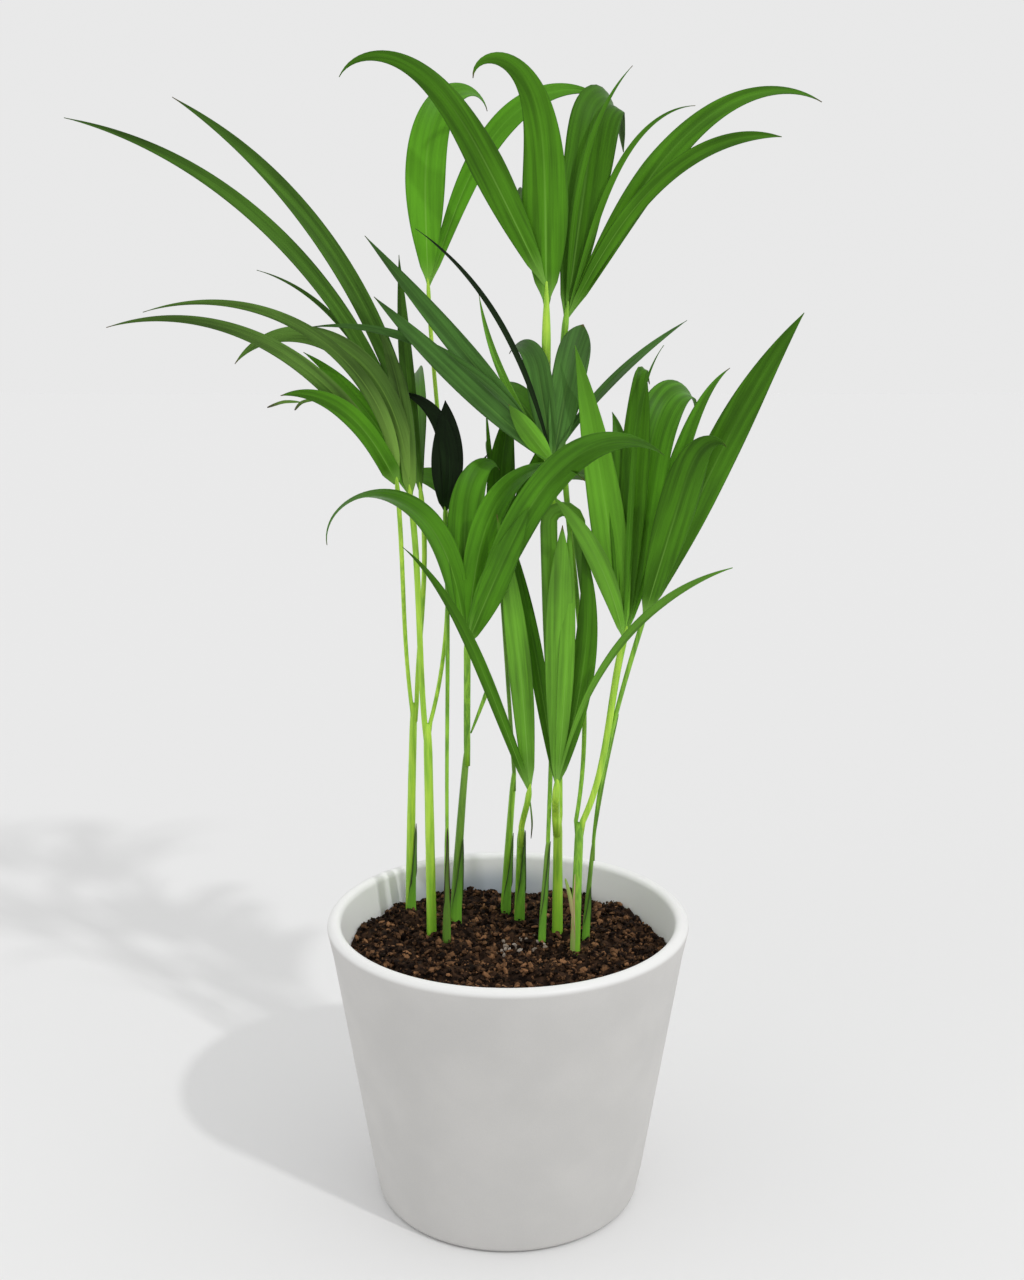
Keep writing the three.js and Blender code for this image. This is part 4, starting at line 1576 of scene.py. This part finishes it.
@dataclass
class Stems:
    """The young stems with the sheaths at their feet."""

    sides: int = 20
    steps: int = 26
    mouth: float = 0.3
    mouth_from: float = 0.86
    unevenness: float = 0.03
    unevenness_rate: float = 9.0
    sheath_columns: int = 12
    sheath_rows: int = 20
    sheath_thickness: float = 0.0003
    sheath_slope: float = 0.62
    sheath_curve: float = 1.3
    sheath_ragged: float = 0.16
    ragged_rate: float = 2.2
    sheath_taper: float = 0.55

    def stem(self, name: str, stem: Stem, finishes: Finishes) -> None:
        """Makes one stem in place of its solid.

        Args:
            name: The stem's name.
            stem: Its shape.
            finishes: Every material of the part.
        """
        mould = Mould()
        rings = []
        for i in range(self.steps + 1):
            share = i / self.steps
            near_top = clamped((share - self.mouth_from) / (1 - self.mouth_from))
            half = stem.half(share) * (1 - self.mouth * near_top**2)
            uneven = noise.noise(Vector((*stem.foot, share * self.unevenness_rate)))
            half *= 1 + self.unevenness * uneven
            rings.append(Ring(stem.centre(share), heading(0, 0), heading(90, 0), half, half))
        mould.tube(closed(rings), self.sides)
        outward(mould.bm)
        piece = mould.finish(f"shoot_{name}", [finishes.limb[stem.tone]])
        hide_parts(f"stem_{name}")

    def sheath(self, name: str, stem: Stem, sheath: Sheath, finishes: Finishes) -> None:
        """Wraps one sheath round its stem.

        Args:
            name: The piece's name.
            stem: The stem it wraps.
            sheath: Its shape.
            finishes: Every material of the part.
        """
        mould = Mould()

        def spot(side: float, share: float) -> Vector:
            """Gives a place on the sheath.

            Args:
                side: Share of the half width, from -1 to 1.
                share: Share of the way along, from 0 to 1.

            Returns:
                The place, in metres.
            """
            ragged = noise.noise(Vector((side * self.ragged_rate, sheath.side, stem.foot[0]))) * share**2
            slope = self.sheath_slope * abs(side) ** self.sheath_curve
            reach = sheath.height * (1 - slope + self.sheath_ragged * ragged)
            height = SOIL_LEVEL + sheath.low + (reach - sheath.low) * share
            at = stem.share_at(height)
            out = stem.half(at) + sheath.stand_off + sheath.flare * stem.radius[0] * share**3
            turn = sheath.side + side * sheath.spread * (1 - self.sheath_taper * share**2)
            return (stem.centre(clamped(at)) + heading(turn, 0) * out + Vector((0, 0, max(at - 1, 0)))) * MM

        mould.sheet(self.sheath_columns, self.sheath_rows, spot)
        piece = mould.finish(name, [finishes.sheath[sheath.tone]])
        thicken(piece, self.sheath_thickness)

    def build(self, finishes: Finishes) -> None:
        """Makes every stem and sheath.

        Args:
            finishes: Every material of the part.
        """
        for name, stem in STEMS.items():
            self.stem(name, stem, finishes)
            for number, sheath in enumerate(stem.sheaths, 1):
                self.sheath(f"sheath_{name}_{number}", stem, sheath, finishes)


@dataclass
class Stalks:
    """The stalks, each running up out of its stem's mouth and on into its frond's rib."""

    sides: int = 14
    steps: int = 36
    rib_steps: int = 8
    gap: float = 0.3
    sunk: float = 7.0
    sunk_inward: float = 0.5
    sunk_back: float = 1.0
    sunk_half: float = 0.9
    rib_taper: float = 0.75
    rib_curve: float = 1.5
    rib_cap: float = 0.4
    flatness: float = 0.94

    def rings(self, frond: Frond) -> list[Ring]:
        """Follows the source's curve from the stem's top to the rib's end.

        Args:
            frond: The frond that the stalk bears.

        Returns:
            The rings, from the stalk's sunk foot.
        """
        stalk, rib = frond.stalk, frond.rib
        top = Vector(STEMS[stalk.stem].top)
        foot_way = heading(stalk.toward, stalk.rise)
        lift = self.gap + stalk.radius * math.hypot(foot_way.x, foot_way.y)
        foot = top + Vector((*stalk.offset, lift))
        tip_way = heading(rib.toward, rib.rise)
        tip = Vector(frond.base) - tip_way * self.gap
        reach = (tip - foot).length / 3
        pulls = (foot, foot + foot_way * reach, tip - tip_way * reach, tip)
        made = []
        below = foot - Vector((*stalk.offset, 0)) * self.sunk_inward
        below -= foot_way * self.sunk_back + Vector((0, 0, self.sunk))
        made.append(self._ring(below, foot_way, 0.0))
        made.append(self._ring(below, foot_way, stalk.radius * self.sunk_half))
        for i in range(self.steps + 1):
            t = i / self.steps
            share = ((1 - t) ** 3, 3 * t * (1 - t) ** 2, 3 * t * t * (1 - t), t**3)
            point = sum((pull * part for pull, part in zip(pulls, share)), Vector())
            over = 1 - t
            slope = (-over * over, over * over - 2 * t * over, 2 * t * over - t * t, t * t)
            along = sum((pull * part for pull, part in zip(pulls, slope)), Vector()).normalized()
            made.append(self._ring(point, along, between(stalk.radius, rib.radius, t)))
        for i in range(1, self.rib_steps + 1):
            t = i / self.rib_steps
            point = Vector(frond.base) + tip_way * rib.length * t
            made.append(self._ring(point, tip_way, rib.radius * (1 - self.rib_taper * t**self.rib_curve)))
        made.append(self._ring(Vector(frond.base) + tip_way * (rib.length + self.rib_cap), tip_way, 0.0))
        return made

    def _ring(self, point: Vector, along: Vector, half: float) -> Ring:
        """Gives a ring square to the way on."""
        across = Vector((0, 1, 0)).cross(along).normalized()
        return Ring(point, across, along.cross(across), half, half * self.flatness)

    def build(self, finishes: Finishes) -> None:
        """Makes every stalk.

        Args:
            finishes: Every material of the part.
        """
        for name, frond in FRONDS.items():
            mould = Mould()
            mould.tube(self.rings(frond), self.sides)
            outward(mould.bm)
            piece = mould.finish(f"petiole_{name}", [finishes.limb[frond.limb]])
            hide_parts(f"stalk_{name}")


@dataclass
class Blades:
    """The fronds' leaflets: pleated blades with a shallow fold along the rib."""

    columns: int = 18
    rows: int = 60
    fold: float = 0.22
    pleat_gap: tuple[float, float] = (2.6, 4.0)
    pleat_depth: float = 0.07
    wave: float = 0.05
    tip: float = 0.10
    thickness: float = 0.00026
    forward: Point = (0.0, -0.6, 0.8)
    neck: float = 0.35
    neck_end: float = 0.08
    pleat_share: float = 0.08
    pleat_fade: float = 0.6
    waves: tuple[float, float] = (1.6, 2.8)
    seed: int = 70

    def blade(self, mould: Mould, leaflet: Leaflet, start: Vector, slot: int, deal: random.Random) -> None:
        """Adds one blade.

        Args:
            mould: The frond's mould.
            leaflet: The blade's rule.
            start: Where it leaves the rib, in millimetres.
            slot: The upper side's material slot.
            deal: Deals the small differences between blades.
        """
        stations = leaflet.stations(start, self.rows)
        own, phase = deal.random(), deal.uniform(0, math.tau)
        waves, gap = deal.uniform(*self.waves), deal.uniform(*self.pleat_gap)
        where: dict[Point, tuple[float, float]] = {}

        def spot(side: float, share: float) -> Vector:
            """Gives a place on the blade.

            Args:
                side: Share of the half width, from -1 to 1.
                share: Share of the way along, from 0 to 1.

            Returns:
                The place, in metres.
            """
            station = stations[round(share * self.rows)]
            neck = between(self.neck, 1.0, clamped(share / self.neck_end))
            half = max(leaflet.half_width(share) * neck, self.tip)
            across = side * half
            depth = min(self.pleat_depth, half * self.pleat_share) * (1 - self.pleat_fade * share)
            pleat = depth * math.cos(math.tau * across / gap)
            ripple = self.wave * half * side * abs(side) * math.sin(phase + math.tau * waves * share)
            lift = abs(across) * self.fold + pleat + ripple
            place = (station.point + station.across * across + station.face * lift) * MM
            where[tuple(place)] = (across / 10, share * leaflet.length / 10)
            return place

        verts = mould.sheet(self.columns, self.rows, spot)
        for vert in verts:
            share, side, _, _ = vert[mould.place]
            vert[mould.place] = (share, side, own, 1.0)
        faces = mould.faces_of(verts)
        for face in faces:
            face.material_index = slot
            for loop in face.loops:
                loop[mould.blade].uv = where[tuple(loop.vert.co)]
        middle = stations[self.rows // 2]
        if middle.face.dot(Vector(self.forward)) < 0:
            bmesh.ops.reverse_faces(mould.bm, faces=faces)

    def build(self, finishes: Finishes) -> None:
        """Makes every frond's blades in place of its solid.

        Args:
            finishes: Every material of the part.
        """
        for number, (name, frond) in enumerate(FRONDS.items()):
            deal = random.Random(self.seed + number)
            mould = Mould()
            way = heading(frond.rib.toward, frond.rib.rise)
            tones = list(dict.fromkeys(leaflet.tone or frond.tone for leaflet in frond.leaflets))
            for leaflet in frond.leaflets:
                start = Vector(frond.base) + way * leaflet.at
                slot = 2 * tones.index(leaflet.tone or frond.tone)
                self.blade(mould, leaflet, start, slot, deal)
            sides = [finishes.leaf[tone, under] for tone in tones for under in (False, True)]
            piece = mould.finish(f"leaves_{name}", sides)
            thicken(piece, self.thickness, behind=1)
            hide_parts(f"frond_{name}")


@dataclass(frozen=True)
class Strip:
    """A thin dried or young piece: the points it runs through, its half width and its tone."""

    name: str
    points: tuple[Point, ...]
    half: float
    tone: LimbTone | SheathTone


STRIPS = (
    Strip(
        "dry_thread", ((8.2, 7.4, 160), (9.0, 7.9, 153), (9.4, 8.6, 147), (9.0, 9.4, 141)), 0.35,
        SheathTone.DRY,
    ),
    Strip("peeled_strip", ((22, -6, 130.5), (24, -7, 122.5), (25, -7, 114.5)), 0.8, SheathTone.PALE),
    Strip(
        "young_leaf", ((-14.5, 16, 182), (-9, 14, 197), (-7, 13, 204), (-9, 12, 211)), 0.9,
        LimbTone.GREEN,
    ),
    Strip("dark_strip", ((33, 7, 137.5), (37, 5, 166.5), (42, 2, 193.5)), 0.5, LimbTone.OLIVE),
    Strip("curl_low", ((-76, 6, 310.5), (-82, 6, 310.5), (-88, 6, 308.5)), 0.6, SheathTone.DRY),
    Strip("curl_near", ((-69, 6, 311.5), (-75, 6, 310.5), (-78, 6, 307.5)), 0.6, SheathTone.DRY),
)


@dataclass
class Strips:
    """The thin dried and young pieces among the stems and at the leaves' tips."""

    sides: int = 8
    steps: int = 16
    flat: float = 0.45
    ends: tuple[float, float] = (0.04, 0.96)
    fullness: float = 0.6

    def rings(self, strip: Strip) -> list[Ring]:
        """Runs through the strip's points, with a taper to both ends.

        Args:
            strip: The strip.

        Returns:
            The rings, from end to end.
        """
        pieces = len(strip.points) - 1
        spots = []
        for i in range(self.steps + 1):
            t = i / self.steps * pieces
            low = min(int(t), pieces - 1)
            near = [Vector(strip.points[min(max(low + k, 0), pieces)]) for k in (-1, 0, 1, 2)]
            spots.append(self._between(near, t - low))
        made = []
        for i, spot in enumerate(spots):
            along = (spots[min(i + 1, self.steps)] - spots[max(i - 1, 0)]).normalized()
            across = Vector((0, 1, 0)).cross(along).normalized()
            half = strip.half * math.sin(math.pi * between(*self.ends, i / self.steps)) ** self.fullness
            made.append(Ring(spot, across, along.cross(across), half, half * self.flat))
        return closed(made)

    @staticmethod
    def _between(near: Sequence[Vector], t: float) -> Vector:
        """Gives a place on the smooth curve between the second and the third of four points.

        Args:
            near: Four points in a row.
            t: Share of the way from the second to the third.

        Returns:
            The place, in millimetres.
        """
        before, start, end, after = near
        pull = (end - before) * 0.5
        away = (after - start) * 0.5
        return (start * (2 * t**3 - 3 * t**2 + 1) + pull * (t**3 - 2 * t**2 + t)
                + end * (3 * t**2 - 2 * t**3) + away * (t**3 - t**2))

    def build(self, finishes: Finishes) -> None:
        """Makes every strip.

        Args:
            finishes: Every material of the part.
        """
        for strip in STRIPS:
            mould = Mould()
            mould.tube(self.rings(strip), self.sides)
            outward(mould.bm)
            finish = finishes.limb if isinstance(strip.tone, LimbTone) else finishes.sheath
            piece = mould.finish(strip.name, [finish[strip.tone]])


@dataclass
class Studio:
    """A pale floor, painted lighter in front of the pot, soft light and the camera."""

    floor_half: float = 6.0
    # painted light: the floor is lighter in front of the pot than far away
    floor_near_painted_light: Colour = (0.852, 0.852, 0.852)
    floor_far: Colour = (0.788, 0.788, 0.788)
    floor_roughness: float = 0.9
    floor_drop: float = 0.0001
    # Where the painted light fades out, in metres: towards the back, and away from the pot.
    fade_back: tuple[float, float] = (-0.3, 0.3)
    fade_out: tuple[float, float] = (0.45, 1.2)
    backdrop: Colour = (0.813, 0.813, 0.813)
    sky_heights: tuple[float, float] = (-0.1, 1.0)
    low_light: float = 0.41
    high_light: float = 0.48
    side_light: float = 0.5
    lamp_place: Point = (1.333, -1.458, 2.1)
    lamp_power: float = 6.6
    lamp_radius: float = 0.06
    camera_place: Point = (0.00156, -0.5483, 0.3426)
    camera_pitch: float = 12.33
    lens: float = 42.1875
    sensor: float = 36.0
    clip: tuple[float, float] = (0.01, 50.0)

    def floor(self) -> None:
        """Lays the floor, painted lighter in front of and near the pot to even out the shade that the pot
        and plant give it.
        """
        shader = Shader.start("floor", 0.0)
        graph = shader.graph
        place = graph.add("ShaderNodeVectorMath", operation="LENGTH")
        graph.feed(place.inputs[0], graph.place())
        # painted light: in front of the pot the floor takes its lighter colour
        away = graph.math("MAXIMUM", graph.spread(graph.split(graph.place())["Y"], *self.fade_back),
                          graph.spread(place.outputs["Value"], *self.fade_out))
        colour = graph.mix(away, opaque(self.floor_near_painted_light), opaque(self.floor_far))
        shader.shade(colour, self.floor_roughness)
        mesh = bpy.data.meshes.new("floor")
        bm = bmesh.new()
        bmesh.ops.create_grid(bm, x_segments=8, y_segments=8, size=self.floor_half)
        bmesh.ops.translate(bm, verts=bm.verts, vec=(0, 0, -self.floor_drop))
        bm.to_mesh(mesh)
        bm.free()
        mesh.materials.append(shader.material)
        floor = bpy.data.objects.new("floor", mesh)
        bpy.context.scene.collection.objects.link(floor)

    def sky(self) -> None:
        """Sets a plain backdrop and soft light from above and both sides."""
        world = bpy.data.worlds.new("studio")
        world.use_nodes = True
        graph = Graph(world.node_tree)
        way = graph.split(graph.add("ShaderNodeTexCoord").outputs["Generated"])
        overhead = self.low_light + self.high_light
        level = graph.spread(way["Z"], *self.sky_heights, self.low_light, overhead, smooth=False)
        aside = graph.math("MULTIPLY", graph.math("MULTIPLY", way["X"], way["X"]), self.side_light)
        level = graph.math("ADD", level, aside)
        soft = graph.add("ShaderNodeBackground")
        soft.inputs["Color"].default_value = opaque((1.0, 1.0, 1.0))
        graph.feed(soft.inputs["Strength"], level)
        plain = graph.add("ShaderNodeBackground")
        plain.inputs["Color"].default_value = opaque(self.backdrop)
        seen = graph.add("ShaderNodeMixShader")
        graph.feed(seen.inputs[0], graph.add("ShaderNodeLightPath").outputs["Is Camera Ray"])
        graph.feed(seen.inputs[1], soft.outputs[0])
        graph.feed(seen.inputs[2], plain.outputs[0])
        out = graph.add("ShaderNodeOutputWorld")
        graph.feed(out.inputs["Surface"], seen.outputs[0])
        bpy.context.scene.world = world

    def lamp(self) -> None:
        """Hangs a round lamp that lights the whole floor alike, so that only its shadows show."""
        data = bpy.data.lights.new("lamp", "POINT")
        data.energy = self.lamp_power
        data.shadow_soft_size = self.lamp_radius
        data.use_nodes = True
        graph = Graph(data.node_tree)
        steady = graph.add("ShaderNodeLightFalloff")
        steady.inputs["Strength"].default_value = 1.0
        way = graph.split(graph.add("ShaderNodeNewGeometry").outputs["Incoming"])
        steep = graph.math("ABSOLUTE", way["Z"])
        shine = graph.add("ShaderNodeEmission")
        graph.feed(shine.inputs["Strength"], graph.math("DIVIDE", steady.outputs["Constant"], steep))
        out = graph.add("ShaderNodeOutputLight")
        graph.feed(out.inputs["Surface"], shine.outputs[0])
        lamp = bpy.data.objects.new("lamp", data)
        lamp.location = self.lamp_place
        bpy.context.scene.collection.objects.link(lamp)

    def camera(self) -> None:
        """Sets the camera at the photograph's angle."""
        data = bpy.data.cameras.new("camera")
        data.lens = self.lens
        data.sensor_width = self.sensor
        data.clip_start, data.clip_end = self.clip
        camera = bpy.data.objects.new("camera", data)
        camera.location = self.camera_place
        camera.rotation_euler = (math.radians(90 - self.camera_pitch), 0.0, 0.0)
        bpy.context.scene.collection.objects.link(camera)
        bpy.context.scene.camera = camera

    def build(self) -> None:
        """Sets up floor, light and camera."""
        self.floor()
        self.sky()
        self.lamp()
        self.camera()
        bpy.context.scene.view_settings.view_transform = "Standard"


def main() -> None:
    """Builds the plant over its solids."""
    logging.basicConfig(level=logging.INFO, format="%(message)s")
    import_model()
    finishes = Finishes()
    for part in (Pot(), Soil(), Stems(), Stalks(), Blades(), Strips()):
        part.build(finishes)
        LOG.info("%s done", type(part).__name__)
    Studio().build()


if __name__ == "__main__":
    main()
